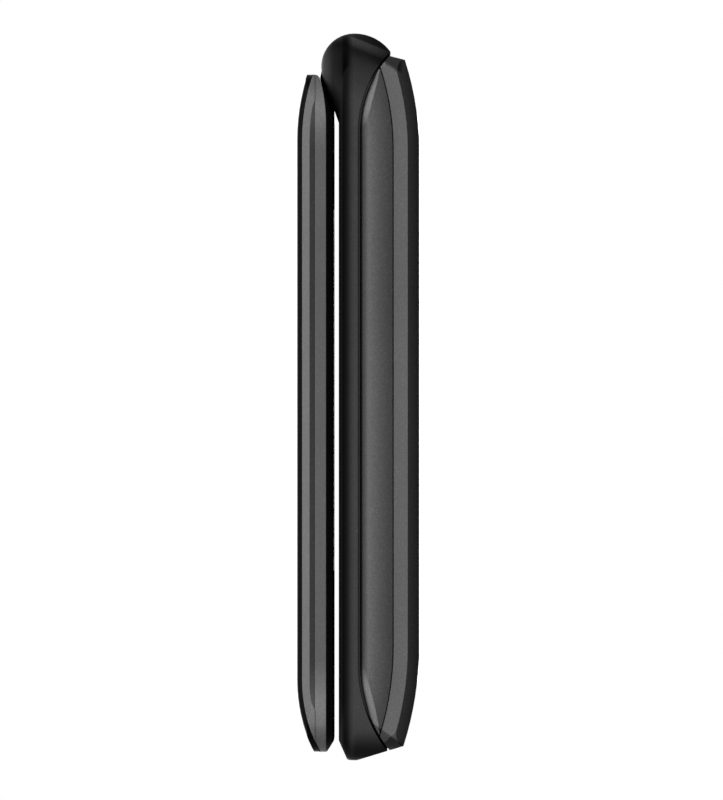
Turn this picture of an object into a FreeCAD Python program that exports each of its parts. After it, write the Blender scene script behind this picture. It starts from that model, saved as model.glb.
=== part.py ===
"""Clamshell mobile phone, closed, as a parametric FreeCAD document.

The phone lies on its back: +Z points from the back to the outer face of the closed lid, +Y points to the
hinge end and +X to the bare right side. The origin is at the middle of the back. Lengths are millimetres.

Every driving size is a cell of the sheet "Sizes". Each piece is one object whose sizes are expressions of
those cells, and is written to parts/NODE.step.
"""

import FreeCAD, Part
import math
import operator
import os

import Sketcher
from FreeCAD import Placement, Rotation, Vector

# ------------------------------------------------------------------------------------------------ sizes

SIZES = (
    # overall
    ("phone_width", 54.0, "across the crests of both halves"),
    ("chin_reach", 54.0, "from the origin to the end of the chin"),
    ("deck_height", 11.93, "back face to keypad deck"),
    ("lid_gap", 0.70, "light gap between deck and closed lid"),
    ("lid_face_height", 18.21, "back face to outer face of the closed lid"),
    ("seam", 0.02, "gap between pieces that are clamped together"),
    # bow of the back, seen from the side
    ("bow_run_top", 12.28, "start of the rise of the back, from the hinge axis"),
    ("bow_radius_top", 42.7, "radius of that rise"),
    ("bow_run_low", 16.9, "start of the rise of the back, from the chin end"),
    ("bow_radius_low", 48.0, "radius of that rise"),
    # parting line between front and rear housing, and the bevel under it
    ("parting_height", 8.73, "height of the parting line on the straight side"),
    ("parting_run_top", 9.68, "start of the fall of the parting line, from the hinge axis"),
    ("parting_radius_top", 16.72, "radius of that fall"),
    ("parting_run_low", 14.18, "start of the fall of the parting line, from the chin end"),
    ("parting_radius_low", 20.54, "radius of that fall"),
    ("groove_width", 0.34, "shadow groove along the parting line"),
    ("groove_depth", 0.6, "depth of the shadow groove"),
    ("groove_end", 1.73, "chin end of the groove floor from the chin, without its depth"),
    ("gasket_inset", 0.06, "gasket in the groove below the side of the front housing"),
    ("bevel_height", 7.98, "height of the lower edge of the bevel"),
    ("bevel_run_top", 11.78, "start of the fall of the bevel, from the hinge axis"),
    ("bevel_radius_top", 21.0, "radius of that fall"),
    ("bevel_run_low", 16.2, "start of the fall of the bevel, from the chin end"),
    ("bevel_radius_low", 21.3, "radius of that fall"),
    ("bevel_depth", 0.65, "how far the bevel cuts into the side"),
    # side wall of the base, measured from the back
    ("back_edge_inset", 1.5, "back face narrower than the crest, each side"),
    ("crest_rise", 1.68, "back face to crest of the battery cover"),
    ("back_edge_radius", 8.0, "bulge of the facet between back and crest"),
    ("crease_rise", 3.77, "back face to the crease between cover and rear housing"),
    ("crease_inset", 0.6, "crease below the crest, each side"),
    ("flank_inset", 0.1, "rear housing side below the crest at the bevel"),
    ("flank_radius", 7.0, "bulge of the rear housing side"),
    ("rear_corner", 3.0, "plan corner radius of the battery cover"),
    ("rear_chin_inset", 1.55, "chin end of the battery cover at its corners, from the chin end"),
    ("rear_past_hinge", 1.77, "hinge end of the rear pieces at the parting line, past the hinge axis"),
    ("rear_end_slant", 1.35, "how far that end leans in at the back"),
    # front housing
    ("side_inset", 0.2, "front housing side below the crest"),
    ("chin_corner", 7.0, "plan corner radius at the chin"),
    ("top_corner", 4.5, "plan corner radius at the hinge end"),
    ("block_past_hinge", 2.52, "hinge end of the front housing, past the hinge axis"),
    ("deck_round", 1.9, "rounding of the deck edge"),
    ("chin_height", 9.3, "height where the chin end starts to lean back"),
    ("chin_lean", 2.89, "how far the chin end leans in at the back"),
    ("chin_bevel_run", 3.0, "length of the bevel between deck and chin"),
    ("chin_bevel_drop", 1.2, "height of that bevel"),
    ("chin_nose", 0.25, "small flat between that bevel and the chin end"),
    ("shell_wall", 1.3, "wall of the front housing"),
    ("chin_wall", 3.0, "inside of the front housing, from the chin end"),
    ("cavity_run_top", 7.78, "inside of the front housing, from the hinge axis"),
    # hinge
    ("hinge_y", 49.08, "hinge axis from the origin"),
    ("hinge_height", 9.62, "hinge axis above the back"),
    ("ear_radius", 4.92, "dome of the ears about the hinge axis"),
    ("ear_rear_radius", 6.71, "rear side of that dome"),
    ("ear_rear_drop", 5.59, "how far the dome reaches below the hinge axis"),
    ("ear_end_rise", 0.6, "height of the slant at the foot of the dome"),
    ("ear_run", 8.21, "where the ear runs out on the deck, from the hinge axis"),
    ("ear_inner", 13.0, "inner face of each ear from the middle"),
    ("ear_tip_inset", 0.7, "ear tip below the crest"),
    ("ear_tip_round", 3.3, "how much smaller the ear is at its tip"),
    ("bay_radius", 5.3, "hollow for the lid barrel"),
    ("barrel_radius", 4.75, "lid barrel"),
    ("barrel_gap", 0.25, "between barrel and each ear"),
    ("pin_radius", 2.93, "hinge cartridge head and sleeve"),
    ("pin_clearance", 0.07, "running clearance of the lid barrel on its pins"),
    ("pin_reach", 17.5, "depth of the ear sockets from the middle"),
    ("sleeve_bore", 2.2, "bore of the flex sleeve"),
    ("pin_inner", 4.0, "inner end of sleeve and cam shaft from the middle"),
    ("cam_shaft_radius", 1.2, "shaft of the cam in its cartridge"),
    ("cartridge_inner", 2.0, "inner end of the cartridge from the middle"),
    ("flex_radius", 1.75, "rolled flex inside the sleeve"),
    ("flex_wall", 0.35, "thickness of the rolled flex"),
    # rear housing and battery cover
    ("cover_wall", 1.0, "battery cover plate"),
    ("cover_side_wall", 1.15, "battery cover side wall at the crease"),
    ("cover_fit", 0.15, "clearance between battery cover and rear housing"),
    ("cover_chin_wall", 3.7, "inside of the battery cover, from the chin end"),
    ("cover_run_top", 0.28, "inside of the battery cover, from the hinge axis"),
    ("floor_under", 5.2, "underside of the rear housing floor"),
    ("floor_wall", 0.9, "thickness of that floor"),
    ("tray_wall", 2.7, "board tray, from the crest"),
    ("tray_run_low", 15.4, "board tray, from the chin end"),
    ("tray_run_top", 10.48, "board tray, from the hinge axis"),
    ("tray_corner", 2.0, "corner of the board tray and of the main board"),
    # battery
    ("bay_width", 40.0, "battery bay"),
    ("bay_top", 25.0, "battery bay, hinge end"),
    ("bay_run_low", 21.0, "battery bay, from the chin end"),
    ("bay_corner", 0.4, "corner of the battery bay"),
    ("bay_clearance", 0.2, "battery in its bay"),
    ("contact_width", 8.0, "battery contact block"),
    ("contact_depth", 2.4, "battery contact block along the phone"),
    ("contact_height", 3.0, "battery contact block"),
    # board, screws
    ("board_side", 3.8, "main board, from the crest"),
    ("board_gap", 0.6, "main board from each end of its tray"),
    ("board_rise", 1.35, "main board above the floor"),
    ("board_thickness", 0.9, "main board"),
    ("can_width", 30.0, "shield can"),
    ("can_length", 24.0, "shield can"),
    ("can_y", 16.0, "middle of the shield can"),
    ("screw_side", 5.2, "housing screws, from the crest"),
    ("screw_run_top", 8.68, "housing screws, from the hinge axis"),
    ("screw_run_low", 9.0, "housing screws, from the chin end"),
    ("screw_radius", 0.7, "housing screw shank"),
    ("screw_head_radius", 1.45, "housing screw head"),
    ("screw_head_height", 0.8, "housing screw head"),
    ("boss_radius", 2.2, "screw boss"),
    # keypad
    ("dome_sheet", 0.2, "dome sheet"),
    ("dome_radius", 2.2, "one click dome"),
    ("dome_rise", 0.25, "one click dome"),
    ("key_sink", 0.05, "key tops below the deck"),
    ("key_gap", 0.2, "between a key and its hole"),
    ("key_travel", 0.35, "key travel"),
    ("key_flange", 0.45, "flange of a key beyond its hole"),
    ("key_flange_height", 0.9, "flange of a key"),
    ("key_top_play", 0.08, "flange under the deck"),
    ("key_stem_radius", 1.0, "stem that presses the dome"),
    ("key_bevel", 0.3, "bevel of the key tops"),
    ("digit_width", 13.4, "number key"),
    ("digit_row_gap", 1.4, "between two rows of number keys"),
    ("digit_corner", 1.6, "number key corner"),
    ("digit_pitch_x", 15.0, "number keys across"),
    ("digit_first_y", 5.6, "top row of number keys below the origin"),
    ("digit_run_low", 18.4, "bottom row of number keys, from the chin end"),
    ("soft_width", 11.0, "soft key"),
    ("soft_length", 6.0, "soft key"),
    ("soft_x", 17.2, "soft key from the middle"),
    ("soft_y", 29.5, "soft key"),
    ("call_width", 11.0, "send and end key"),
    ("call_length", 8.6, "send and end key"),
    ("call_x", 17.2, "send and end key from the middle"),
    ("call_y", 19.4, "send and end key"),
    ("clear_width", 10.0, "clear key"),
    ("clear_length", 4.6, "clear key"),
    ("clear_y", 5.6, "clear key"),
    ("ring_size", 20.0, "navigation ring"),
    ("ring_corner", 6.0, "navigation ring corner"),
    ("ring_y", 21.5, "middle of the navigation ring"),
    ("ring_stem", 7.2, "stems of the navigation ring from its middle"),
    ("centre_radius", 4.2, "centre key"),
    # rocker
    ("rocker_length", 14.0, "volume rocker"),
    ("rocker_height", 1.4, "volume rocker"),
    ("rocker_y", 20.0, "middle of the volume rocker"),
    ("rocker_rise", 0.9, "middle of the rocker above the floor"),
    ("rocker_inset", 0.15, "rocker face below the crest"),
    ("rocker_play", 0.25, "flange of the rocker behind its wall"),
    ("rocker_flange", 0.45, "flange of the rocker"),
    ("rocker_corner", 0.5, "corner of the rocker hole"),
    ("rocker_rib", 1.0, "rib that the rocker tilts on"),
    # sound, aerial, port
    ("speaker_radius", 7.5, "loudspeaker"),
    ("speaker_height", 2.9, "loudspeaker"),
    ("surround_width", 1.0, "soft surround of the loudspeaker"),
    ("surround_rim", 0.6, "rim of the loudspeaker outside its surround"),
    ("surround_depth", 0.4, "soft surround of the loudspeaker"),
    ("speaker_run", 14.58, "middle of the loudspeaker, from the hinge axis"),
    ("slot_length", 9.0, "loudspeaker slots in the battery cover"),
    ("slot_width", 0.9, "loudspeaker slots in the battery cover"),
    ("slot_pitch", 1.9, "loudspeaker slots in the battery cover"),
    ("motor_radius", 4.0, "coin vibration motor"),
    ("motor_height", 2.7, "coin vibration motor"),
    ("motor_side", 11.8, "coin vibration motor, from the crest"),
    ("motor_run", 11.68, "coin vibration motor, from the hinge axis"),
    ("pocket_gap", 0.1, "round the parts in the rear housing pockets"),
    ("port_width", 7.8, "charge port shell"),
    ("port_height", 2.4, "charge port shell"),
    ("port_length", 6.0, "charge port shell"),
    ("port_wall", 0.3, "charge port shell"),
    ("port_recess", 0.7, "charge port shell behind the chin"),
    ("port_corner", 0.5, "corner of the charge port shell"),
    ("port_z", 9.2, "middle of the charge port"),
    ("aerial_width", 14.0, "aerial carrier"),
    ("aerial_length", 3.6, "aerial carrier"),
    ("aerial_height", 2.3, "aerial carrier"),
    ("aerial_gap", 1.0, "aerial carrier from the charge port"),
    ("microphone_radius", 2.0, "microphone"),
    ("microphone_height", 1.2, "microphone"),
    ("microphone_x", 14.0, "microphone"),
    ("microphone_run", 6.4, "microphone, from the chin end"),
    ("microphone_hole", 0.5, "sound hole radius"),
    ("stem_gap", 0.03, "key stem above its pressed dome"),
    # lid outline, seen from the side
    ("lid_short", 1.2, "chin end of the lid, from the chin end"),
    ("lid_run_top", 1.18, "hinge end of the lid, from the hinge axis"),
    ("lid_bow_run_top", 9.66, "start of the fall of the outer face, from the hinge end of the lid"),
    ("lid_bow_radius_top", 30.32, "radius of that fall"),
    ("lid_bow_run_low", 10.7, "start of the fall of the outer face, from the chin end of the lid"),
    ("lid_bow_radius_low", 22.94, "radius of that fall"),
    ("lid_corner_low", 8.0, "plan corner radius of the lid, chin end"),
    ("lid_corner_top", 5.0, "plan corner radius of the lid, hinge end"),
    ("lid_edge_inset", 0.05, "lid shell below the crest"),
    ("lid_lip_run", 1.8, "bevel of the inner housing at the chin end"),
    ("lid_lip_rise", 1.1, "bevel of the inner housing at the chin end"),
    ("lid_relief_run", 7.0, "start of the clearance for the ears, from the hinge end of the lid"),
    ("lid_relief_rise", 2.14, "height of that clearance at the hinge end"),
    ("lid_relief_inset", 0.46, "end of that clearance below the lid top"),
    ("lid_top_chamfer", 0.43, "height of the chamfer at the lid top"),
    # lid layers
    ("cover_thickness", 0.82, "outer cover of the lid"),
    ("cover_edge_inset", 0.75, "outer cover edge below the crest"),
    ("cover_face_inset", 2.7, "flat of the outer cover below the crest"),
    ("cover_edge_radius", 2.6, "rounding of the outer cover edge"),
    ("trim_crest", 1.95, "crest of the trim below the outer face"),
    ("trim_root_inset", 0.5, "root of the trim below the crest"),
    ("shell_top", 15.45, "top of the lid shell"),
    ("inner_top", 13.8, "top of the inner housing"),
    ("inner_rise_run", 7.3, "start of the rise of the inner housing, from the hinge end of the lid"),
    ("inner_rise_radius", 25.0, "rise of that line towards the hinge end"),
    ("trim_wall", 2.2, "wall of the trim frame"),
    ("lid_wall", 1.4, "wall of the lid shell"),
    ("lid_web", 0.42, "web of the lid shell"),
    ("flex_slot_gap", 1.6, "slot for the display flex, from the display window"),
    ("flex_slot_width", 1.6, "slot for the display flex"),
    ("inner_round", 0.3, "rounding of the inner housing edge"),
    # lid parts
    ("view_width", 38.0, "main display window"),
    ("view_length", 54.0, "main display window"),
    ("view_y", 1.0, "middle of the main display window"),
    ("view_glass", 0.55, "main display window"),
    ("view_ledge", 1.8, "ledge under each display window"),
    ("view_corner", 1.5, "corner of the display windows"),
    ("glass_gap", 0.08, "round each window"),
    ("front_view_width", 30.0, "outer display window"),
    ("front_view_length", 26.0, "outer display window"),
    ("front_view_y", 14.0, "middle of the outer display window"),
    ("front_view_glass", 0.5, "outer display window"),
    ("display_height", 1.1, "both display modules"),
    ("camera_run", 10.46, "camera, from the hinge end of the lid"),
    ("camera_radius", 2.4, "camera window"),
    ("camera_dome_radius", 1.1, "raised lens"),
    ("camera_dome_rise", 0.14, "raised lens"),
    ("camera_body", 5.6, "camera module"),
    ("camera_gap", 0.12, "camera module under its window"),
    ("earpiece_run", 7.0, "earpiece, from the main display window"),
    ("earpiece_width", 11.0, "earpiece speaker"),
    ("earpiece_length", 5.0, "earpiece speaker"),
    ("grille_width", 9.0, "earpiece grille"),
    ("grille_length", 1.8, "earpiece grille"),
    ("lid_board_width", 36.0, "lid circuit board"),
    ("lid_board_run", 6.8, "lid circuit board, from the chin end of the lid"),
    ("lid_board_gap", 2.0, "lid circuit board from the main display window"),
    ("lid_board_thickness", 0.7, "lid circuit board"),
    ("lid_screw_side", 4.8, "lid screws, from the crest"),
    ("lid_screw_run_top", 14.9, "lid screws, from the hinge end of the lid"),
    ("lid_screw_run_low", 7.8, "lid screws, from the chin end of the lid"),
    ("cap_radius", 1.55, "rubber screw cap"),
    ("cap_height", 0.3, "rubber screw cap"),
    ("lid_screw_head", 0.38, "lid screw head height"),
)

doc = FreeCAD.newDocument("ClamshellPhone")
sheet = doc.addObject("Spreadsheet::Sheet", "Sizes")
for row, (alias, number, note) in enumerate(SIZES, start=1):
    sheet.set("A%d" % row, note)
    sheet.set("B%d" % row, str(number))
    sheet.setAlias("B%d" % row, alias)
doc.recompute()

OPERATIONS = {"+": operator.add, "-": operator.sub, "*": operator.mul, "/": operator.truediv}


class Size:
    """A length that carries both its number and the sheet expression that gives it."""

    def __init__(self, value, text=None):
        self.value = float(value)
        self.text = text or "(%r)" % float(value)

    def __add__(self, other):
        return joined(self, "+", other)

    def __radd__(self, other):
        return joined(other, "+", self)

    def __sub__(self, other):
        return joined(self, "-", other)

    def __rsub__(self, other):
        return joined(other, "-", self)

    def __mul__(self, other):
        return joined(self, "*", other)

    def __rmul__(self, other):
        return joined(other, "*", self)

    def __truediv__(self, other):
        return joined(self, "/", other)

    def __neg__(self):
        return joined(0, "-", self)


def as_size(number):
    return number if isinstance(number, Size) else Size(number)


def joined(left, sign, right):
    left, right = as_size(left), as_size(right)
    return Size(OPERATIONS[sign](left.value, right.value), "(%s %s %s)" % (left.text, sign, right.text))


def root(size):
    return Size(math.sqrt(size.value), "sqrt(%s)" % size.text)


def side_of(radius, offset):
    """Height of a circle of this radius at this distance from its middle."""
    return root(radius * radius - offset * offset)


class Cells:
    """Each sheet cell by its alias, as a Size."""

    def __getattr__(self, alias):
        return Size(sheet.get(alias), "Sizes." + alias)


s = Cells()


def bind(item, prop, size):
    item.setExpression(prop, as_size(size).text)


# ------------------------------------------------------------------------------------- sketch and feature helpers


def new_body(name):
    body = doc.addObject("PartDesign::Body", name)
    body.Label = name
    return body


def origin_plane(body, role):
    return next(item for item in body.Origin.OriginFeatures if item.Role == role)


def arc_edge(start, stop, radius):
    """The short arc from start to stop, left-turning when radius is positive."""
    chord = stop - start
    left = Vector(-chord.y, chord.x, 0).normalize()
    rise = math.sqrt(max(0.0, radius * radius - chord.Length ** 2 / 4))
    turn = 1 if radius > 0 else -1
    centre = (start + stop) * 0.5 + left * rise * turn
    angles = [math.atan2(point.y - centre.y, point.x - centre.x) for point in (start, stop)]
    if turn < 0:
        angles.reverse()
    return Part.ArcOfCircle(Part.Circle(centre, Vector(0, 0, 1), abs(radius)), *angles)


def add_loop(sketch, corners):
    """Closed loop. A corner is (x, y), or (x, y, radius) when an arc leads from it to the next corner."""
    first, count = sketch.GeometryCount, len(corners)
    corners = [tuple(as_size(number) for number in corner) for corner in corners]
    points = [Vector(corner[0].value, corner[1].value, 0) for corner in corners]
    edges, ends = [], []
    for k, corner in enumerate(corners):
        start, stop = points[k], points[(k + 1) % count]
        if len(corner) == 2:
            edges.append(Part.LineSegment(start, stop))
            ends.append((1, 2))
        else:
            edges.append(arc_edge(start, stop, corner[2].value))
            ends.append((1, 2) if corner[2].value > 0 else (2, 1))
    sketch.addGeometry(edges, False)
    constraints, texts = [], []
    for k, corner in enumerate(corners):
        after = (k + 1) % count
        constraints.append(Sketcher.Constraint("Coincident", first + k, ends[k][1], first + after,
                                               ends[after][0]))
        texts.append(None)
        for kind, number in zip(("DistanceX", "DistanceY"), corner):
            constraints.append(Sketcher.Constraint(kind, -1, 1, first + k, ends[k][0], number.value))
            texts.append(number.text)
        if len(corner) == 3:
            constraints.append(Sketcher.Constraint("Radius", first + k, abs(corner[2].value)))
            texts.append("abs(%s)" % corner[2].text)
    base = sketch.ConstraintCount
    sketch.addConstraint(constraints)
    for index, text in enumerate(texts):
        if text:
            sketch.setExpression("Constraints[%d]" % (base + index), text)


def add_circle(sketch, x, y, radius):
    x, y, radius = as_size(x), as_size(y), as_size(radius)
    index = sketch.addGeometry(Part.Circle(Vector(x.value, y.value, 0), Vector(0, 0, 1), radius.value),
                               False)
    for kind, number in (("DistanceX", x), ("DistanceY", y)):
        place = sketch.addConstraint(Sketcher.Constraint(kind, -1, 1, index, 3, number.value))
        sketch.setExpression("Constraints[%d]" % place, number.text)
    place = sketch.addConstraint(Sketcher.Constraint("Radius", index, radius.value))
    sketch.setExpression("Constraints[%d]" % place, radius.text)


def draw(body, name, plane, loops=(), circles=(), offset=0, axis_height=None):
    """Sketch on an origin plane of the body, moved along the plane's normal by offset."""
    sketch = body.newObject("Sketcher::SketchObject", body.Name + "_" + name)
    sketch.AttachmentSupport = [(origin_plane(body, plane), "")]
    sketch.MapMode = "FlatFace"
    bind(sketch, "AttachmentOffset.Base.z", offset)
    for corners in loops:
        add_loop(sketch, corners)
    for circle in circles:
        add_circle(sketch, *circle)
    if axis_height is not None:
        add_axis(sketch, as_size(axis_height))
    return sketch


def add_axis(sketch, height):
    """A construction line across the sketch at this height, to revolve about."""
    line = Part.LineSegment(Vector(-5, height.value, 0), Vector(5, height.value, 0))
    index = sketch.addGeometry(line, True)
    sketch.addConstraint(Sketcher.Constraint("Horizontal", index))
    sketch.addConstraint(Sketcher.Constraint("DistanceX", -1, 1, index, 1, -5))
    sketch.addConstraint(Sketcher.Constraint("DistanceX", -1, 1, index, 2, 5))
    place = sketch.addConstraint(Sketcher.Constraint("DistanceY", -1, 1, index, 1, height.value))
    sketch.setExpression("Constraints[%d]" % place, height.text)


def feature(kind, sketch, length=None, reverse=False, both_sides=False):
    """Pad or Pocket of a sketch, by a length or, without one, through everything both ways."""
    body = sketch.getParentGeoFeatureGroup()
    item = body.newObject("PartDesign::" + kind, sketch.Name + "_" + kind.lower())
    item.Profile = sketch
    item.Reversed = reverse
    if length is None:
        item.Type = "ThroughAll"
        item.SideType = "Symmetric"
    else:
        item.SideType = "Symmetric" if both_sides else "One side"
        bind(item, "Length", length)
    return item


def pad(sketch, length, reverse=False, both_sides=False):
    return feature("Pad", sketch, length, reverse, both_sides)


def pocket(sketch, length=None, reverse=False, both_sides=False):
    return feature("Pocket", sketch, length, reverse, both_sides)


def revolve(sketch, angle, reverse, axis="Axis0"):
    body = sketch.getParentGeoFeatureGroup()
    item = body.newObject("PartDesign::Revolution", sketch.Name + "_turn")
    item.Profile = sketch
    item.ReferenceAxis = (sketch, [axis])
    item.Angle = angle
    item.Reversed = reverse
    return item


def loft(kind, sketches):
    body = sketches[0].getParentGeoFeatureGroup()
    item = body.newObject("PartDesign::" + kind, sketches[0].Name + "_loft")
    item.Profile = sketches[0]
    item.Sections = [(sketch, [""]) for sketch in sketches[1:]]
    return item


def dress_edges(kind, prop, body, name, size, wanted):
    """Fillet or chamfer on the edges of the body's last feature for which wanted(edge) holds."""
    doc.recompute()
    tip = body.Tip
    names = ["Edge%d" % k for k, edge in enumerate(tip.Shape.Edges, start=1) if wanted(edge)]
    item = body.newObject("PartDesign::" + kind, body.Name + "_" + name)
    item.Base = (tip, names)
    bind(item, prop, size)
    return item


def round_edges(body, name, radius, wanted):
    return dress_edges("Fillet", "Radius", body, name, radius, wanted)


def bevel_edges(body, name, size, wanted):
    return dress_edges("Chamfer", "Size", body, name, size, wanted)


def flat_at(axis, height):
    """Test for edges that lie wholly in the plane axis = height."""
    def lies(edge):
        low, high = getattr(edge.BoundBox, axis + "Min"), getattr(edge.BoundBox, axis + "Max")
        return abs(low - height.value) < 1e-4 and abs(high - height.value) < 1e-4
    return lies


def rounded(x0, y0, x1, y1, corner, far_corner=None):
    """Rectangle with rounded corners; far_corner is the radius at y1."""
    near, far = corner, corner if far_corner is None else far_corner
    return [(x0 + near, y0), (x1 - near, y0, near), (x1, y0 + near), (x1, y1 - far, far),
            (x1 - far, y1), (x0 + far, y1, far), (x0, y1 - far), (x0, y0 + near, near)]


def rounded_about(x, y, width, length, corner):
    return rounded(x - width / 2, y - length / 2, x + width / 2, y + length / 2, corner)


def rectangle(x0, y0, x1, y1):
    return [(x0, y0), (x1, y0), (x1, y1), (x0, y1)]


def octagon(x, y, radius):
    """Regular octagon with two flats across the phone; radius is to the middle of a flat."""
    half = radius * math.tan(math.pi / 8)
    return [(x + radius, y - half), (x + radius, y + half), (x + half, y + radius), (x - half, y + radius),
            (x - radius, y + half), (x - radius, y - half), (x - half, y - radius), (x + half, y - radius)]


def mirrored_section(right):
    """Full cross-section from its right half, listed from the middle bottom up to the middle top."""
    left = []
    for k in range(len(right) - 1, -1, -1):
        x, y = right[k][0], right[k][1]
        arc = right[k - 1][2:] if k > 0 else ()
        if as_size(x).value or k in (0, len(right) - 1):
            left.append((-as_size(x), y) + arc)
    middle = [corner for corner in right if as_size(corner[0]).value]
    return middle + [corner for corner in left if as_size(corner[0]).value]


OUTSIDE = Size(6)
FAR = Size(70)
half_width = s.phone_width / 2
floor_top = s.floor_under + s.floor_wall
deck_under = s.deck_height - s.shell_wall
lid_under = s.deck_height + s.lid_gap

# places that follow the end, the axis, the side or the window they belong to
bow_start_low = s.chin_reach - s.bow_run_low
parting_start_low = s.chin_reach - s.parting_run_low
bevel_start_low = s.chin_reach - s.bevel_run_low
cavity_reach_low = s.chin_reach - s.chin_wall
cover_end_low = s.chin_reach - s.cover_chin_wall
screw_y_low = s.chin_reach - s.screw_run_low
microphone_y = s.chin_reach - s.microphone_run
digit_last_y = s.chin_reach - s.digit_run_low
bay_low = s.chin_reach - s.bay_run_low
lid_low = s.chin_reach - s.lid_short
lid_bow_start_low = lid_low - s.lid_bow_run_low
lid_screw_y_low = lid_low - s.lid_screw_run_low
block_reach = s.hinge_y + s.block_past_hinge
rear_top_reach = s.hinge_y + s.rear_past_hinge
bow_start_top = s.hinge_y - s.bow_run_top
parting_start_top = s.hinge_y - s.parting_run_top
bevel_start_top = s.hinge_y - s.bevel_run_top
ear_foot_y = s.hinge_y - s.ear_run
cavity_reach_top = s.hinge_y - s.cavity_run_top
cover_end_top = s.hinge_y - s.cover_run_top
screw_y_top = s.hinge_y - s.screw_run_top
speaker_y = s.hinge_y - s.speaker_run
motor_y = s.hinge_y - s.motor_run
lid_top = s.hinge_y - s.lid_run_top
lid_relief_y = lid_top - s.lid_relief_run
inner_rise_start = lid_top - s.inner_rise_run
lid_bow_start_top = lid_top - s.lid_bow_run_top
camera_y = lid_top - s.camera_run
lid_screw_y_top = lid_top - s.lid_screw_run_top
screw_x = half_width - s.screw_side
lid_screw_x = half_width - s.lid_screw_side
motor_x = half_width - s.motor_side
tray_width = s.phone_width - s.tray_wall * 2
board_width = s.phone_width - s.board_side * 2
earpiece_y = s.view_y + s.view_length / 2 + s.earpiece_run
tray_low = s.chin_reach - s.tray_run_low
tray_top = s.hinge_y - s.tray_run_top
digit_pitch_y = (digit_last_y - s.digit_first_y) / 3
digit_length = digit_pitch_y - s.digit_row_gap


def arched_line(height, ends, grow=0):
    """Corners of a level line at this height that falls away by an arc at each end.

    ends is (reach, start, radius) at the chin and at the hinge end; grow moves the whole line outwards.
    """
    (low_reach, low_start, low_radius), (top_reach, top_start, top_radius) = ends
    low_radius, top_radius = low_radius + grow, top_radius + grow
    level = height + grow
    low_fall = low_radius - side_of(low_radius, low_reach - low_start)
    top_fall = top_radius - side_of(top_radius, top_reach - top_start)
    return [(-low_reach, level - low_fall, -low_radius), (-low_start, level),
            (top_start, level, -top_radius), (top_reach, level - top_fall)]


PARTING_ENDS = ((s.chin_reach, parting_start_low, s.parting_radius_low),
                (block_reach + 0.4, parting_start_top, s.parting_radius_top))
BEVEL_ENDS = ((s.chin_reach, bevel_start_low, s.bevel_radius_low),
              (block_reach + 0.4, bevel_start_top, s.bevel_radius_top))


def above(line, height):
    """Region between an arched line and a level far above it."""
    return line + [(line[-1][0], height), (line[0][0], height)]


def chin_cut():
    """Region beyond the chin: bevel, end face and its lean towards the back."""
    lean = s.chin_lean / s.chin_height
    bevel_low = s.deck_height - s.chin_bevel_drop
    return [(-s.chin_reach + s.chin_bevel_run, s.deck_height + 1),
            (-s.chin_reach + s.chin_bevel_run, s.deck_height),
            (-s.chin_reach + s.chin_nose, bevel_low),
            (-s.chin_reach, bevel_low - s.chin_nose),
            (-s.chin_reach, s.chin_height),
            (-s.chin_reach + s.chin_lean + lean, -1),
            (-FAR, -1), (-FAR, s.deck_height + 1)]


def rear_top_cut():
    """Region beyond the hinge end of the rear pieces, a face that leans in towards the back."""
    lean = s.rear_end_slant / s.floor_under
    foot = rear_top_reach - s.rear_end_slant
    return [(foot - lean, -1), (FAR, -1), (FAR, s.deck_height + 1),
            (rear_top_reach, s.deck_height + 1), (rear_top_reach, s.floor_under)]


def swept_along(body, right_half, bow, level, up):
    """Solid of one cross-section that runs level along the phone and bends by an arc at each end.

    bow is (start, radius) at the chin and at the hinge end. up is +1 when the ends bend up, -1 when down.
    """
    (low_start, low_radius), (top_start, top_radius) = bow
    section = mirrored_section(right_half)
    pad(draw(body, "middle", "XZ_Plane", [section], offset=-top_start), low_start + top_start)
    for name, place, radius, reverse in (("top", top_start, top_radius, up < 0),
                                         ("low", -low_start, low_radius, up > 0)):
        sketch = draw(body, name, "XZ_Plane", [section], offset=-place, axis_height=level + radius * up)
        revolve(sketch, 32, reverse)


BACK_BOW = ((bow_start_low, s.bow_radius_low), (bow_start_top, s.bow_radius_top))
LID_BOW = ((lid_bow_start_low, s.lid_bow_radius_low), (lid_bow_start_top, s.lid_bow_radius_top))
LID_ENDS = ((lid_low + 1, lid_bow_start_low, s.lid_bow_radius_low),
            (lid_top + 1, lid_bow_start_top, s.lid_bow_radius_top))


def cut_bevel(body):
    """Bevel under the parting line, on both sides."""
    ceiling = s.deck_height + 1
    for name, side in (("right", 1), ("left", -1)):
        inner = draw(body, "bevel_inner_" + name, "YZ_Plane",
                     [above(arched_line(s.parting_height, PARTING_ENDS), ceiling)],
                     offset=(half_width - s.bevel_depth) * side)
        outer = draw(body, "bevel_outer_" + name, "YZ_Plane",
                     [above(arched_line(s.bevel_height, BEVEL_ENDS), ceiling)],
                     offset=(half_width + 0.02) * side)
        cut = loft("SubtractiveLoft", [inner, outer])
        cut.Ruled = True


# ------------------------------------------------------------------------------------------------ base, rear


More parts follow.
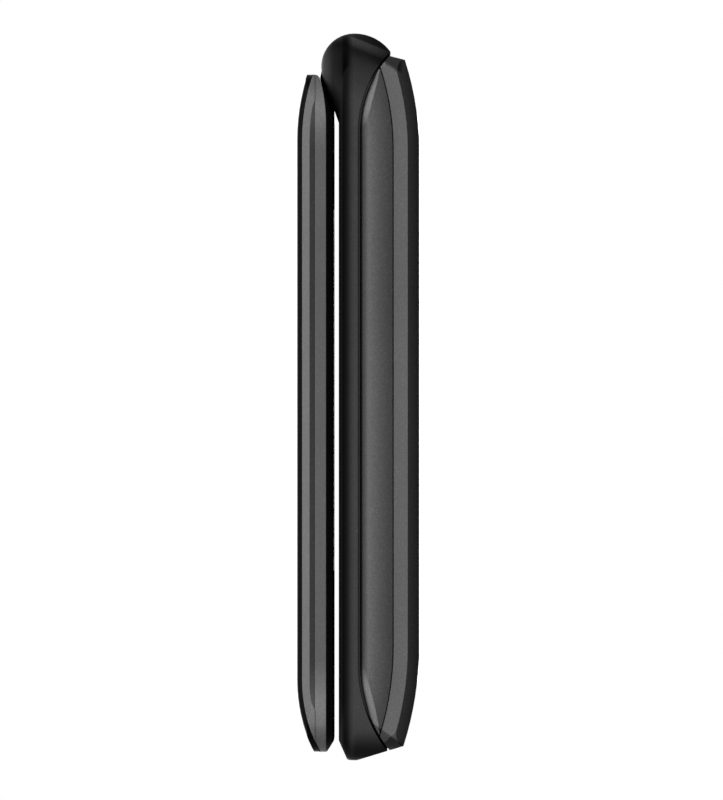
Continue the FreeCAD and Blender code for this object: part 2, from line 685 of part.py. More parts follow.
def battery_cover():
    body = new_body("cover_outside")
    edge = half_width - s.back_edge_inset
    crease = half_width - s.crease_inset
    swept_along(body, [(0, 0), (edge, 0, s.back_edge_radius), (half_width, s.crest_rise),
                       (crease, s.crease_rise), (0, s.crease_rise)], BACK_BOW, Size(0), 1)
    pocket(draw(body, "parting", "YZ_Plane",
                [above(arched_line(s.parting_height, PARTING_ENDS), s.deck_height + 1)]))
    pocket(draw(body, "chin", "YZ_Plane", [chin_cut()]))
    pocket(draw(body, "end", "YZ_Plane", [rear_top_cut()]))
    cut_bevel(body)
    plan = rounded(-half_width, -s.chin_reach + s.rear_chin_inset, half_width, rear_top_reach, s.rear_corner)
    pocket(draw(body, "corners", "XY_Plane", [rectangle(-FAR, -FAR, FAR, FAR), plan]))
    pocket(draw(body, "hinge_bay", "YZ_Plane", circles=[(s.hinge_y, s.hinge_height, s.bay_radius)]),
           s.ear_inner * 2, both_sides=True)
    slots = [rounded_about(Size(0), speaker_y + s.slot_pitch * step, s.slot_length, s.slot_width,
                           s.slot_width * 0.49) for step in (-2, -1, 0, 1, 2)]
    pocket(draw(body, "slots", "XY_Plane", slots))

    hollow = new_body("cover_hollow")
    wall = crease - s.cover_side_wall
    swept_along(hollow, [(0, s.cover_wall), (wall, s.cover_wall), (wall, s.floor_under + 1),
                         (0, s.floor_under + 1)], BACK_BOW, Size(0), 1)
    pocket(draw(hollow, "ends", "XY_Plane", [rectangle(-FAR, -FAR, FAR, FAR),
                rectangle(-wall - 1, -cover_end_low, wall + 1, cover_end_top)]))
    cover = doc.addObject("Part::Cut", "battery_cover")
    cover.Base, cover.Tool = body, hollow
    return cover


def rear_housing():
    body = new_body("rear_housing")
    skirt = half_width - s.crease_inset - s.cover_side_wall - s.cover_fit
    crease = half_width - s.crease_inset
    under = s.cover_wall + s.cover_fit
    swept_along(body, [(0, under), (skirt, under), (skirt, s.crease_rise + s.cover_fit),
                       (crease, s.crease_rise + s.cover_fit, s.flank_radius),
                       (half_width - s.flank_inset, s.bevel_height),
                       (half_width - s.flank_inset, s.parting_height + 1), (0, s.parting_height + 1)],
                BACK_BOW, Size(0), 1)
    pocket(draw(body, "parting", "YZ_Plane",
                [above(arched_line(s.parting_height, PARTING_ENDS), s.deck_height + 1)]))
    pocket(draw(body, "ends", "XY_Plane", [rectangle(-FAR, -FAR, FAR, FAR), rectangle(
        -FAR / 2, -cover_end_low + s.cover_fit, FAR / 2, cover_end_top - s.cover_fit)]))
    cut_bevel(body)
    pocket(draw(body, "hinge_bay", "YZ_Plane", circles=[(s.hinge_y, s.hinge_height, s.bay_radius)]),
           s.ear_inner * 2, both_sides=True)
    tray = rounded(-tray_width / 2, -tray_low, tray_width / 2, tray_top, s.tray_corner)
    pocket(draw(body, "tray", "XY_Plane", [tray], offset=floor_top), s.deck_height, reverse=True)
    bay = rounded(-s.bay_width / 2, -bay_low, s.bay_width / 2, s.bay_top, s.bay_corner)
    pocket(draw(body, "bay", "XY_Plane", [bay], offset=s.floor_under), s.floor_under)
    rounds = [(0, speaker_y, s.speaker_radius + s.pocket_gap),
              (motor_x, motor_y, s.motor_radius + s.pocket_gap)]
    pocket(draw(body, "rounds", "XY_Plane", circles=rounds, offset=s.floor_under), s.floor_under)
    heads = [(x, y, s.screw_head_radius + s.pocket_gap) for x, y in screw_places()]
    pocket(draw(body, "heads", "XY_Plane", circles=heads, offset=s.floor_under), s.floor_under)
    shanks = [(x, y, s.screw_radius + s.seam) for x, y in screw_places()]
    pocket(draw(body, "shanks", "XY_Plane", circles=shanks))
    hole = rounded_about(s.rocker_y, floor_top + s.rocker_rise, s.rocker_length + s.key_gap * 2,
                         s.rocker_height + s.key_gap, s.rocker_corner)
    pocket(draw(body, "rocker", "YZ_Plane", [hole], offset=-tray_width / 2 + 1), OUTSIDE, reverse=False)
    return body


def screw_places():
    return [(screw_x * side, y) for side in (1, -1) for y in (screw_y_top, -screw_y_low)]


def battery():
    return box("battery", -s.bay_width / 2 + s.bay_clearance,
               -bay_low + s.contact_depth + s.bay_clearance * 2, s.cover_wall + s.cover_fit,
               s.bay_width - s.bay_clearance * 2,
               bay_low + s.bay_top - s.contact_depth - s.bay_clearance * 3,
               s.floor_under - s.cover_wall - s.cover_fit - s.pocket_gap)


def battery_contacts():
    return box("battery_contacts", -s.contact_width / 2, -bay_low + s.bay_clearance,
               s.floor_under - s.contact_height - s.seam, s.contact_width, s.contact_depth, s.contact_height)


def loudspeaker():
    body = new_body("loudspeaker")
    under = s.floor_under - s.speaker_height - s.seam
    pad(draw(body, "can", "XY_Plane", circles=[(0, speaker_y, s.speaker_radius)], offset=under),
        s.speaker_height)
    outer = s.speaker_radius - s.surround_rim
    ring = [(0, speaker_y, outer), (0, speaker_y, outer - s.surround_width)]
    pocket(draw(body, "surround", "XY_Plane", circles=ring, offset=under), s.surround_depth, reverse=True)
    return body


def vibration_motor():
    return cylinder("vibration_motor", motor_x, motor_y, s.floor_under - s.motor_height - s.seam,
                    s.motor_radius, s.motor_height)

def base_screws():
    """Four pan-head screws that go up through the rear housing into the front housing."""
    head_under = s.floor_under - s.screw_head_height - s.seam
    reach = deck_under - 0.5 - s.floor_under
    return screw_set("base_screws", screw_places(), head_under, s.screw_head_radius, s.screw_head_height,
                     s.screw_radius, reach)


# ------------------------------------------------------------------------------------------------ base, front


def ear_section():
    """Outline of the ears in side view: front slope, dome over the hinge, rear side, closed inside the block."""
    radius = s.ear_radius
    rear_y = s.hinge_y + radius - s.ear_rear_radius
    foot_y, foot_z = ear_foot_y - s.hinge_y, s.deck_height - s.hinge_height
    reach = foot_y * foot_y + foot_z * foot_z
    tangent = root(reach - radius * radius)
    normal_y = (radius * foot_y + tangent * foot_z) / reach
    normal_z = (radius * foot_z - tangent * foot_y) / reach
    return [(ear_foot_y - normal_z * 2, s.deck_height + normal_y * 2),
            (s.hinge_y + normal_y * radius, s.hinge_height + normal_z * radius, -radius),
            (s.hinge_y + radius, s.hinge_height, -s.ear_rear_radius),
            (rear_y + side_of(s.ear_rear_radius, s.ear_rear_drop), s.hinge_height - s.ear_rear_drop)]


def ears():
    """Bar with rounded ends across the hinge end, that the two ears are cut from."""
    body = new_body("ears")
    tip = half_width - s.ear_tip_inset
    pad(draw(body, "bar", "YZ_Plane", [ear_section()]), tip * 2, both_sides=True)
    ends = [flat_at("X", tip), flat_at("X", -tip)]
    inside = block_reach - s.deck_round
    round_edges(body, "end_round", s.ear_tip_round,
                lambda edge: any(end(edge) for end in ends) and edge.BoundBox.YMax > inside.value - 4
                and not (edge.Curve.TypeId == "Part::GeomLine" and edge.BoundBox.YMax > inside.value))
    return body


def keys():
    """Every key: node name, x, y, width, length, corner radius and the places of its stems."""
    middle = ((Size(0), Size(0)),)
    names = ("1", "2", "3", "4", "5", "6", "7", "8", "9", "star", "0", "hash")
    for k, name in enumerate(names):
        row, column = divmod(k, 3)
        yield ("number_key_" + name, s.digit_pitch_x * (column - 1), -s.digit_first_y - digit_pitch_y * row,
               s.digit_width, digit_length, s.digit_corner, middle)
    for name, side in (("right", 1), ("left", -1)):
        yield ("soft_key_" + name, s.soft_x * side, s.soft_y, s.soft_width, s.soft_length, s.digit_corner,
               middle)
    yield "send_key", -s.call_x, s.call_y, s.call_width, s.call_length, s.digit_corner, middle
    yield "end_key", s.call_x, s.call_y, s.call_width, s.call_length, s.digit_corner, middle
    yield "clear_key", Size(0), s.clear_y, s.clear_width, s.clear_length, s.digit_corner, middle
    four = tuple((s.ring_stem * x, s.ring_stem * y) for x, y in ((1, 0), (0, 1), (-1, 0), (0, -1)))
    yield "navigation_ring", Size(0), s.ring_y, s.ring_size, s.ring_size, s.ring_corner, four
    yield ("centre_key", Size(0), s.ring_y, s.centre_radius * 2, s.centre_radius * 2, s.centre_radius * 0.98,
           middle)


def widened(key, by):
    x, y, width, length, corner = key[1:6]
    return rounded_about(x, y, width + by * 2, length + by * 2, corner + by)


def rear_end_cut():
    """Region below the dome at the hinge end; its slanted edge carries on the rear side of the ears."""
    foot_y = rear_top_reach + s.pocket_gap
    low_drop, high_drop = s.ear_rear_drop, s.ear_rear_drop - s.ear_end_rise
    rear_y = s.hinge_y + s.ear_radius - s.ear_rear_radius
    low = (rear_y + side_of(s.ear_rear_radius, low_drop), s.hinge_height - low_drop)
    high = (rear_y + side_of(s.ear_rear_radius, high_drop), s.hinge_height - high_drop)
    return [(foot_y, -1), (FAR, -1), (FAR, high[1]), high, low, (foot_y, low[1])]


def front_shell():
    """Front housing before its shadow groove is cut."""
    body = new_body("front_shell")
    side = half_width - s.side_inset
    plan = rounded(-side, -s.chin_reach, side, block_reach, s.chin_corner, s.top_corner)
    pad(draw(body, "block", "XY_Plane", [plan], offset=s.deck_height), s.deck_height, reverse=True)
    round_edges(body, "deck_round", s.deck_round, flat_at("Z", s.deck_height))
    merged = body.newObject("PartDesign::Boolean", "front_shell_ears")
    merged.Type = "Fuse"
    merged.Group = [ears()]
    between = rectangle(ear_foot_y - 1, s.deck_height, FAR, s.lid_face_height)
    pocket(draw(body, "between_ears", "YZ_Plane", [between]), s.ear_inner * 2, both_sides=True)
    pocket(draw(body, "chin", "YZ_Plane", [chin_cut()]))
    inside = rounded(-side + s.shell_wall, -cavity_reach_low, side - s.shell_wall, cavity_reach_top,
                     s.chin_corner - s.shell_wall)
    pocket(draw(body, "cavity", "XY_Plane", [inside], offset=deck_under), s.deck_height)
    bosses = [(x, y, s.boss_radius) for x, y in screw_places()]
    pad(draw(body, "bosses", "XY_Plane", circles=bosses, offset=floor_top),
        deck_under - floor_top + s.shell_wall / 2)
    below = arched_line(s.parting_height, PARTING_ENDS, grow=s.seam)
    pocket(draw(body, "parting", "YZ_Plane", [above(below, -OUTSIDE)]))
    pocket(draw(body, "rear_end", "YZ_Plane", [rear_end_cut()]))
    axis = (s.hinge_y, s.hinge_height)
    pocket(draw(body, "hinge_bay", "YZ_Plane", circles=[axis + (s.bay_radius,)]), s.ear_inner * 2,
           both_sides=True)
    pocket(draw(body, "pin_sockets", "YZ_Plane", circles=[axis + (s.pin_radius + s.seam,)]), s.pin_reach * 2,
           both_sides=True)
    threads = [(x, y, s.screw_radius + s.seam) for x, y in screw_places()]
    pocket(draw(body, "threads", "XY_Plane", circles=threads, offset=deck_under - 0.4), s.deck_height)
    for key in keys():
        if key[0] != "centre_key":
            hole = draw(body, "hole_" + key[0], "XY_Plane", [widened(key, s.key_gap)],
                        offset=s.deck_height + 1)
            pocket(hole, s.shell_wall + 2)
    pocket(draw(body, "sound_hole", "XY_Plane", circles=[(s.microphone_x, -microphone_y, s.microphone_hole)],
                offset=s.deck_height + 1), s.shell_wall + 2)
    port = rounded_about(Size(0), s.port_z, s.port_width + s.pocket_gap * 2,
                         s.port_height + s.pocket_gap * 2,
                         s.port_corner + s.pocket_gap)
    pocket(draw(body, "port", "XZ_Plane", [port], offset=cavity_reach_low - 1), OUTSIDE, reverse=True)
    return body


def parting_band(name, low, high):
    """Band over the whole width between two lines that follow the parting line at these heights above it."""
    body = new_body(name)
    low_line = arched_line(s.parting_height, PARTING_ENDS, grow=low)
    high_line = arched_line(s.parting_height, PARTING_ENDS, grow=high)
    back = [(high_line[3][0], high_line[3][1], s.parting_radius_top + high), high_line[2][:2],
            (high_line[1][0], high_line[1][1], s.parting_radius_low + high), high_line[0][:2]]
    pad(draw(body, "side", "YZ_Plane", [low_line + back]), s.phone_width + 4, both_sides=True)
    return body


def groove_plan(inset):
    """Plan outline that follows the side of the front housing, drawn inwards by inset."""
    side = half_width - s.side_inset - inset
    return rounded(-side, -s.chin_reach + s.groove_end + inset, side, rear_top_reach - inset,
                   s.chin_corner - inset, s.top_corner - inset)


def ring_on_parting(name, outer, inner, low, high):
    """Ring between two plan outlines, in a band that follows the parting line."""
    ring = new_body(name + "_ring")
    pad(draw(ring, "plan", "XY_Plane", [outer, inner]), s.deck_height)
    pocket(draw(ring, "hinge_bay", "YZ_Plane", circles=[(s.hinge_y, s.hinge_height, s.bay_radius)]),
           s.ear_inner * 2, both_sides=True)
    common = doc.addObject("Part::Common", name)
    common.Base, common.Tool = ring, parting_band(name + "_band", low, high)
    return common


def shadow_groove():
    """Band above the parting line, as deep as the groove, all round the front housing."""
    everywhere = rectangle(-FAR, -FAR, FAR, FAR)
    return ring_on_parting("shadow_groove", everywhere, groove_plan(s.groove_depth), -s.seam * 5,
                           s.groove_width)


def seam_gasket():
    """Soft black seal that fills the shadow groove between the two housings."""
    return ring_on_parting("seam_gasket", groove_plan(s.gasket_inset), groove_plan(s.groove_depth - s.seam),
                           s.seam, s.groove_width - s.seam)


def front_housing():
    housing = doc.addObject("Part::Cut", "front_housing")
    housing.Base, housing.Tool = front_shell(), shadow_groove()
    return housing


def main_board():
    body = new_body("main_board")
    outline = rounded(-board_width / 2, s.board_gap - tray_low, board_width / 2, tray_top - s.board_gap,
                      s.tray_corner)
    pad(draw(body, "outline", "XY_Plane", [outline], offset=floor_top + s.board_rise), s.board_thickness)
    return body


def shield_can():
    return box("shield_can", -s.can_width / 2, s.can_y - s.can_length / 2, floor_top + s.seam,
               s.can_width, s.can_length, s.board_rise - s.seam * 2)


def dome_sheet():
    """Thin sheet on the board with a click dome under each key stem."""
    body = new_body("dome_sheet")
    side = board_width / 2 - s.board_gap
    outline = rounded(-side, s.board_gap * 2 - tray_low, side, s.soft_y + s.soft_length / 2, s.bay_corner)
    pad(draw(body, "sheet", "XY_Plane", [outline], offset=board_top + s.seam), s.dome_sheet)
    for name, x, y, _, _, _, stems in keys():
        domes = [octagon(x + along, y + up, s.dome_radius) for along, up in stems]
        pad(draw(body, "domes_" + name, "XY_Plane", domes, offset=board_top + s.seam + s.dome_sheet),
            s.dome_rise)
    return body


def key_piece(key):
    """One key: cap through its hole, flange that holds it under the deck, and stems over the domes."""
    name, x, y, width, length, corner, stems = key
    body = new_body(name)
    flange_top = deck_under - s.key_top_play
    flange_under = flange_top - s.key_flange_height
    if name == "centre_key":
        flange_top = flange_top - s.key_travel - s.key_top_play
    top = s.deck_height - s.key_sink
    half_x, half_y = width / 2 + s.key_flange, length / 2 + s.key_flange
    flange = rectangle(x - half_x, y - half_y, x + half_x, y + half_y)
    if name == "centre_key":
        flange = widened(key, s.key_flange)
    pad(draw(body, "flange", "XY_Plane", [flange], offset=flange_under), flange_top - flange_under)
    pad(draw(body, "cap", "XY_Plane", [widened(key, Size(0))], offset=flange_under), top - flange_under)
    stem_under = board_top + s.seam + s.dome_sheet + s.dome_rise + s.key_travel + s.stem_gap
    feet = [octagon(x + along, y + up, s.key_stem_radius) for along, up in stems]
    pad(draw(body, "stems", "XY_Plane", feet, offset=stem_under), flange_under - stem_under + s.key_bevel)
    bevel_edges(body, "top_bevel", s.key_bevel, flat_at("Z", top))
    if name == "navigation_ring":
        middle = (x, y, s.centre_radius + s.key_gap)
        pocket(draw(body, "middle", "XY_Plane", circles=[middle]))
        under = (x, y, s.centre_radius + s.key_flange + s.key_gap)
        pocket(draw(body, "under", "XY_Plane", circles=[under], offset=flange_top), s.deck_height)
    return body


def volume_rocker():
    """Bar in the left side wall: face, flange behind the wall and the rib it rocks on."""
    body = new_body("volume_rocker")
    rocker_z = floor_top + s.rocker_rise
    wall = tray_width / 2
    face = rounded_about(s.rocker_y, rocker_z, s.rocker_length, s.rocker_height, s.rocker_height * 0.45)
    flange_x = -wall + s.rocker_play
    pad(draw(body, "face", "YZ_Plane", [face], offset=flange_x),
        half_width - s.rocker_inset - wall + s.rocker_play,
        reverse=True)
    flange = rounded_about(s.rocker_y, rocker_z + s.rocker_flange / 2, s.rocker_length + s.rocker_flange * 2,
                           s.rocker_height + s.rocker_flange, s.rocker_corner * 0.6)
    pad(draw(body, "flange", "YZ_Plane", [flange], offset=flange_x), s.rocker_flange)
    rib = rounded_about(s.rocker_y, rocker_z + s.rocker_flange, s.rocker_rib, s.rocker_height,
                        s.rocker_corner * 0.4)
    pad(draw(body, "rib", "YZ_Plane", [rib], offset=flange_x),
        wall - s.rocker_play - board_width / 2 - s.seam)
    return body


def charge_port():
    """Metal shell of the port, open to the chin, with its contact tongue."""
    body = new_body("charge_port")
    mouth = s.chin_reach - s.port_recess
    shell = rounded_about(Size(0), s.port_z, s.port_width, s.port_height, s.port_corner)
    pad(draw(body, "shell", "XZ_Plane", [shell], offset=mouth), s.port_length, reverse=True)
    hollow = rounded_about(Size(0), s.port_z, s.port_width - s.port_wall * 2,
                           s.port_height - s.port_wall * 2,
                           s.port_corner - s.port_wall)
    pocket(draw(body, "hollow", "XZ_Plane", [hollow], offset=mouth), s.port_length - 0.6, reverse=False)
    tongue = rectangle(-s.port_width / 3, s.port_z - s.port_wall, s.port_width / 3, s.port_z + s.port_wall)
    pad(draw(body, "tongue", "XZ_Plane", [tongue], offset=mouth - s.port_wall * 2),
        s.port_length - s.port_wall * 2 - 0.3, reverse=True)
    return body


def aerial():
    """Carrier beside the charge port, in the chin."""
    right = -s.port_width / 2 - s.aerial_gap
    return box("aerial", right - s.aerial_width, -cavity_reach_low + s.pocket_gap * 4,
               deck_under - s.aerial_height - s.seam, s.aerial_width, s.aerial_length, s.aerial_height)


def microphone():
    return cylinder("microphone", s.microphone_x, -microphone_y, deck_under - s.microphone_height - s.seam,
                    s.microphone_radius, s.microphone_height)


# ------------------------------------------------------------------------------------------------ hinge


def tube(name, x, length, radius, bore):
    """Tube on the hinge axis from x towards +X."""
    body = new_body(name)
    circles = [(s.hinge_y, s.hinge_height, radius), (s.hinge_y, s.hinge_height, bore)]
    pad(draw(body, "wall", "YZ_Plane", circles=circles, offset=x), length)
    return body


def hinge_sleeve():
    """Hollow pin on the left, fixed in its ear, that the lid turns on and the flex runs through."""
    return tube("hinge_sleeve", -s.pin_reach + s.seam, s.pin_reach - s.seam - s.pin_inner, s.pin_radius,
                s.sleeve_bore)


def hinge_flex():
    return tube("hinge_flex", -s.pin_reach + 1, s.pin_reach - s.pin_inner - 2, s.flex_radius,
                s.flex_radius - s.flex_wall)


def hinge_cam():
    """Cam head fixed in the right ear, with the shaft that runs into the cartridge."""
    body = new_body("hinge_cam")
    axis = (s.hinge_y, s.hinge_height)
    head_x = s.ear_inner + s.seam
    pad(draw(body, "head", "YZ_Plane", circles=[axis + (s.pin_radius,)], offset=head_x),
        s.pin_reach - s.seam - head_x)
    pad(draw(body, "shaft", "YZ_Plane", circles=[axis + (s.cam_shaft_radius,)], offset=s.pin_inner),
        head_x - s.pin_inner)
    return body


def hinge_cartridge():
    """Spring cartridge, fixed in the lid barrel, round the cam shaft."""
    return tube("hinge_cartridge", s.cartridge_inner,
                s.ear_inner - s.barrel_gap - s.seam - s.cartridge_inner,
                s.pin_radius + s.pin_clearance - s.seam, s.cam_shaft_radius + s.pin_clearance)


# ------------------------------------------------------------------------------------------------ lid


def cut_lid_ends(body):
    """Both ends of the lid in side view: bevelled lip at the chin end, relief for the ears at the hinge end."""
    low = [(-lid_low + s.lid_lip_run, lid_under - 1), (-lid_low + s.lid_lip_run, lid_under),
           (-lid_low, lid_under + s.lid_lip_rise), (-lid_low, FAR), (-FAR, FAR), (-FAR, lid_under - 1)]
    relief_y, relief_z = lid_top - s.lid_relief_inset, lid_under + s.lid_relief_rise
    top = [(lid_relief_y, lid_under - 1), (FAR, lid_under - 1), (FAR, FAR), (lid_top, FAR),
           (lid_top, relief_z + s.lid_top_chamfer), (relief_y, relief_z), (lid_relief_y, lid_under)]
    pocket(draw(body, "chin_end", "YZ_Plane", [low]))
    pocket(draw(body, "hinge_end", "YZ_Plane", [top]))


def cut_lid_corners(body):
    plan = lid_plan(Size(0))
    pocket(draw(body, "corners", "XY_Plane", [rectangle(-FAR, -FAR, FAR, FAR), plan]))


def lid_plan(inset):
    """Plan outline of the lid, drawn inwards by inset."""
    side = half_width - inset
    return rounded(-side, -lid_low + inset, side, lid_top - inset, s.lid_corner_low - inset,
                   s.lid_corner_top - inset)


def inner_line(grow):
    """Joint between inner housing and lid shell in side view: level, then rising towards the hinge end."""
    reach = lid_top + 1
    radius = s.inner_rise_radius - grow
    rise = radius - side_of(radius, reach - inner_rise_start)
    level = s.inner_top + grow
    return [(-FAR, level), (inner_rise_start, level, radius), (reach, level + rise)]


def lid_screw_places():
    return [(lid_screw_x * side, y) for side in (1, -1) for y in (lid_screw_y_top, -lid_screw_y_low)]


def lid_inner_housing():
    """Black inner face of the lid, with the neck and the barrel that turn between the ears."""
    body = new_body("lid_inner_housing")
    edge = s.lid_edge_inset
    pad(draw(body, "plan", "XY_Plane", [lid_plan(edge)], offset=lid_under), s.inner_top - lid_under + 2)
    round_edges(body, "face_round", s.inner_round, flat_at("Z", lid_under))
    cut_lid_ends(body)
    joint = inner_line(Size(0))
    pocket(draw(body, "joint", "YZ_Plane", [joint + [(joint[-1][0], FAR), (-FAR, FAR)]]))
    barrel_half = s.ear_inner - s.barrel_gap
    axis = (s.hinge_y, s.hinge_height)
    relief_y, relief_z = lid_top - s.lid_relief_inset, lid_under + s.lid_relief_rise
    neck_start = lid_relief_y - s.lid_web
    neck = [(neck_start, lid_under), (s.hinge_y - side_of(s.barrel_radius, lid_under - s.hinge_height) + 0.1,
                                      lid_under),
            (s.hinge_y, s.hinge_height),
            (s.hinge_y + s.barrel_radius * 0.34,
             s.hinge_height + side_of(s.barrel_radius, s.barrel_radius * 0.34)),
            (relief_y, relief_z - s.seam * 2), (neck_start, lid_under + s.inner_round * 2)]
    pad(draw(body, "neck", "YZ_Plane", [neck]), barrel_half * 2, both_sides=True)
    pad(draw(body, "barrel", "YZ_Plane", circles=[axis + (s.barrel_radius,)]), barrel_half * 2,
        both_sides=True)
    pocket(draw(body, "bore", "YZ_Plane", circles=[axis + (s.pin_radius + s.pin_clearance,)]),
           barrel_half * 2 + 1, both_sides=True)
    window = rounded_about(Size(0), s.view_y, s.view_width, s.view_length, s.view_corner)
    pocket(draw(body, "window", "XY_Plane", [window], offset=lid_under), s.view_glass + s.seam * 2,
           reverse=True)
    opening = rounded_about(Size(0), s.view_y, s.view_width - s.view_ledge * 2,
                            s.view_length - s.view_ledge * 2,
                            s.view_corner)
    pocket(draw(body, "opening", "XY_Plane", [opening]))
    slot = rounded_about(Size(0), earpiece_y, s.grille_width + s.glass_gap * 2,
                         s.grille_length + s.glass_gap * 2, s.grille_length * 0.45)
    pocket(draw(body, "slot", "XY_Plane", [slot]))
    caps = [(x, y, s.cap_radius + s.glass_gap) for x, y in lid_screw_places()]
    depth = s.cap_height + s.lid_screw_head + s.seam * 3
    pocket(draw(body, "caps", "XY_Plane", circles=caps, offset=lid_under), depth, reverse=True)
    shanks = [(x, y, s.screw_radius + s.seam) for x, y in lid_screw_places()]
    pocket(draw(body, "shanks", "XY_Plane", circles=shanks))
    return body


def lid_shell():
    """Middle of the lid: side walls and the web between the two displays."""
    body = new_body("lid_shell")
    top = s.shell_top - s.seam
    pad(draw(body, "plan", "XY_Plane", [lid_plan(s.lid_edge_inset)], offset=top), top - lid_under,
        reverse=True)
    cut_lid_ends(body)
    under_cover = arched_line(s.lid_face_height, LID_ENDS, grow=-(s.cover_thickness + s.seam * 2))
    pocket(draw(body, "under_cover", "YZ_Plane", [above(under_cover, FAR)]))
    joint = inner_line(s.seam)
    pocket(draw(body, "joint", "YZ_Plane", [joint + [(joint[-1][0], Size(0)), (-FAR, Size(0))]]))
    pocket(draw(body, "inside", "XY_Plane", [lid_plan(s.lid_wall)], offset=top - s.lid_web), s.deck_height)
    bosses = [(x, y, s.boss_radius) for x, y in lid_screw_places()]
    pad(draw(body, "bosses", "XY_Plane", circles=bosses, offset=s.inner_top + s.seam),
        top - s.lid_web / 2 - s.inner_top - s.seam)
    threads = [(x, y, s.screw_radius + s.seam) for x, y in lid_screw_places()]
    pocket(draw(body, "threads", "XY_Plane", circles=threads, offset=top - s.lid_web), s.deck_height)
    slot_y = s.view_y - s.view_length / 2 - s.flex_slot_gap - s.flex_slot_width / 2
    slot = rounded_about(Size(0), slot_y, s.view_width / 2, s.flex_slot_width, s.flex_slot_width * 0.45)
    pocket(draw(body, "flex_slot", "XY_Plane", [slot]))
    return body


def lid_trim_frame():
    """Faceted frame round the outer cover: light outer facet, crest, and the facet that falls to the shell."""
    body = new_body("lid_trim_frame")
    under = s.lid_face_height - s.cover_thickness - s.seam
    swept_along(body, [(0, s.inner_top), (half_width - s.trim_root_inset, s.inner_top),
                       (half_width - s.trim_root_inset, s.shell_top),
                       (half_width, s.lid_face_height - s.trim_crest),
                       (half_width - s.cover_edge_inset, under), (0, under)],
                LID_BOW, s.lid_face_height, -1)
    pocket(draw(body, "under", "YZ_Plane", [rectangle(-FAR, -1, FAR, s.shell_top)]))
    cut_lid_ends(body)
    cut_lid_corners(body)
    pocket(draw(body, "inside", "XY_Plane", [lid_plan(s.trim_wall)]))
    return body


def lid_outer_cover():
    body = new_body("lid_outer_cover")
    under = s.lid_face_height - s.cover_thickness
    swept_along(body, [(0, under), (half_width - s.cover_edge_inset, under, s.cover_edge_radius),
                       (half_width - s.cover_face_inset, s.lid_face_height), (0, s.lid_face_height)],
                LID_BOW, s.lid_face_height, -1)
    cut_lid_ends(body)
    cut_lid_corners(body)
    window = rounded_about(Size(0), s.front_view_y, s.front_view_width, s.front_view_length, s.view_corner)
    pocket(draw(body, "window", "XY_Plane", [window], offset=s.lid_face_height + 1),
           s.front_view_glass + s.seam * 2 + 1)
    opening = rounded_about(Size(0), s.front_view_y, s.front_view_width - s.view_ledge * 2,
                            s.front_view_length - s.view_ledge * 2, s.view_corner)
    pocket(draw(body, "opening", "XY_Plane", [opening]))
    pocket(draw(body, "camera", "XY_Plane", circles=[(0, camera_y, s.camera_radius + s.glass_gap)]))
    return body


def window_pane(name, y, z, width, length, thickness):
    """Flat window with rounded corners, smaller than its recess by the glass gap."""
    body = new_body(name)
    outline = rounded_about(Size(0), y, width - s.glass_gap * 2, length - s.glass_gap * 2,
                            s.view_corner - s.glass_gap)
    pad(draw(body, "outline", "XY_Plane", [outline], offset=z), thickness)
    return body


def main_display_window():
    return window_pane("main_display_window", s.view_y, lid_under + s.seam, s.view_width, s.view_length,
                       s.view_glass)


def outer_display_window():
    return window_pane("outer_display_window", s.front_view_y,
                       s.lid_face_height - s.front_view_glass - s.seam,
                       s.front_view_width, s.front_view_length, s.front_view_glass)


def main_display():
    width, length = s.view_width - 1, s.view_length - 1
    return box("main_display", -width / 2, s.view_y - length / 2, s.inner_top + s.seam, width, length,
               s.display_height)


def outer_display():
    width, length = s.front_view_width - 1, s.front_view_length - 1
    return box("outer_display", -width / 2, s.front_view_y - length / 2, s.shell_top, width, length,
               s.display_height)


def camera_window():
    """Round window in the outer cover with a small raised lens in its middle."""
    body = new_body("camera_window")
    under, top = s.lid_face_height - s.cover_thickness, s.lid_face_height - s.seam
    dome, rise = s.camera_dome_radius, s.camera_dome_rise
    bulge = (dome * dome + rise * rise) / (rise * 2)
    profile = [(0, under), (s.camera_radius, under), (s.camera_radius, top), (dome, top, bulge),
               (0, top + rise)]
    sketch = draw(body, "profile", "XZ_Plane", [profile], offset=-camera_y)
    revolve(sketch, 360, False, "V_Axis")
    return body


def camera_module():
    height = s.lid_face_height - s.cover_thickness - s.camera_gap - s.shell_top
    return box("camera_module", -s.camera_body / 2, camera_y - s.camera_body / 2, s.shell_top,
               s.camera_body, s.camera_body, height)


def earpiece_grille():
    """Perforated strip over the earpiece."""
    body = new_body("earpiece_grille")
    strip = rounded_about(Size(0), earpiece_y, s.grille_width, s.grille_length, s.grille_length * 0.45)
    pad(draw(body, "strip", "XY_Plane", [strip], offset=lid_under + s.seam), s.view_glass)
    pitch = s.grille_width / 7
    holes = [octagon(pitch * step, earpiece_y, s.grille_length * 0.2) for step in (-3, -2, -1, 0, 1, 2, 3)]
    pocket(draw(body, "holes", "XY_Plane", holes))
    return body


def earpiece_speaker():
    return box("earpiece_speaker", -s.earpiece_width / 2, earpiece_y - s.earpiece_length / 2,
               s.inner_top + s.seam, s.earpiece_width, s.earpiece_length, s.display_height)


def lid_board():
    low = s.lid_board_run - lid_low
    top = s.view_y - s.view_length / 2 - s.lid_board_gap
    return box("lid_board", -s.lid_board_width / 2, low, s.inner_top + s.seam, s.lid_board_width, top - low,
               s.lid_board_thickness)


def lid_screws():
    head_under = lid_under + s.seam * 2 + s.cap_height
    reach = s.shell_top - s.lid_web - 0.1 - head_under - s.lid_screw_head
    return screw_set("lid_screws", lid_screw_places(), head_under, s.screw_head_radius, s.lid_screw_head,
                     s.screw_radius, reach)


def lid_screw_caps():
    caps = [cylinder("cap_%d" % k, x, y, lid_under + s.seam, s.cap_radius, s.cap_height)
            for k, (x, y) in enumerate(lid_screw_places())]
    return grouped("lid_screw_caps", caps)


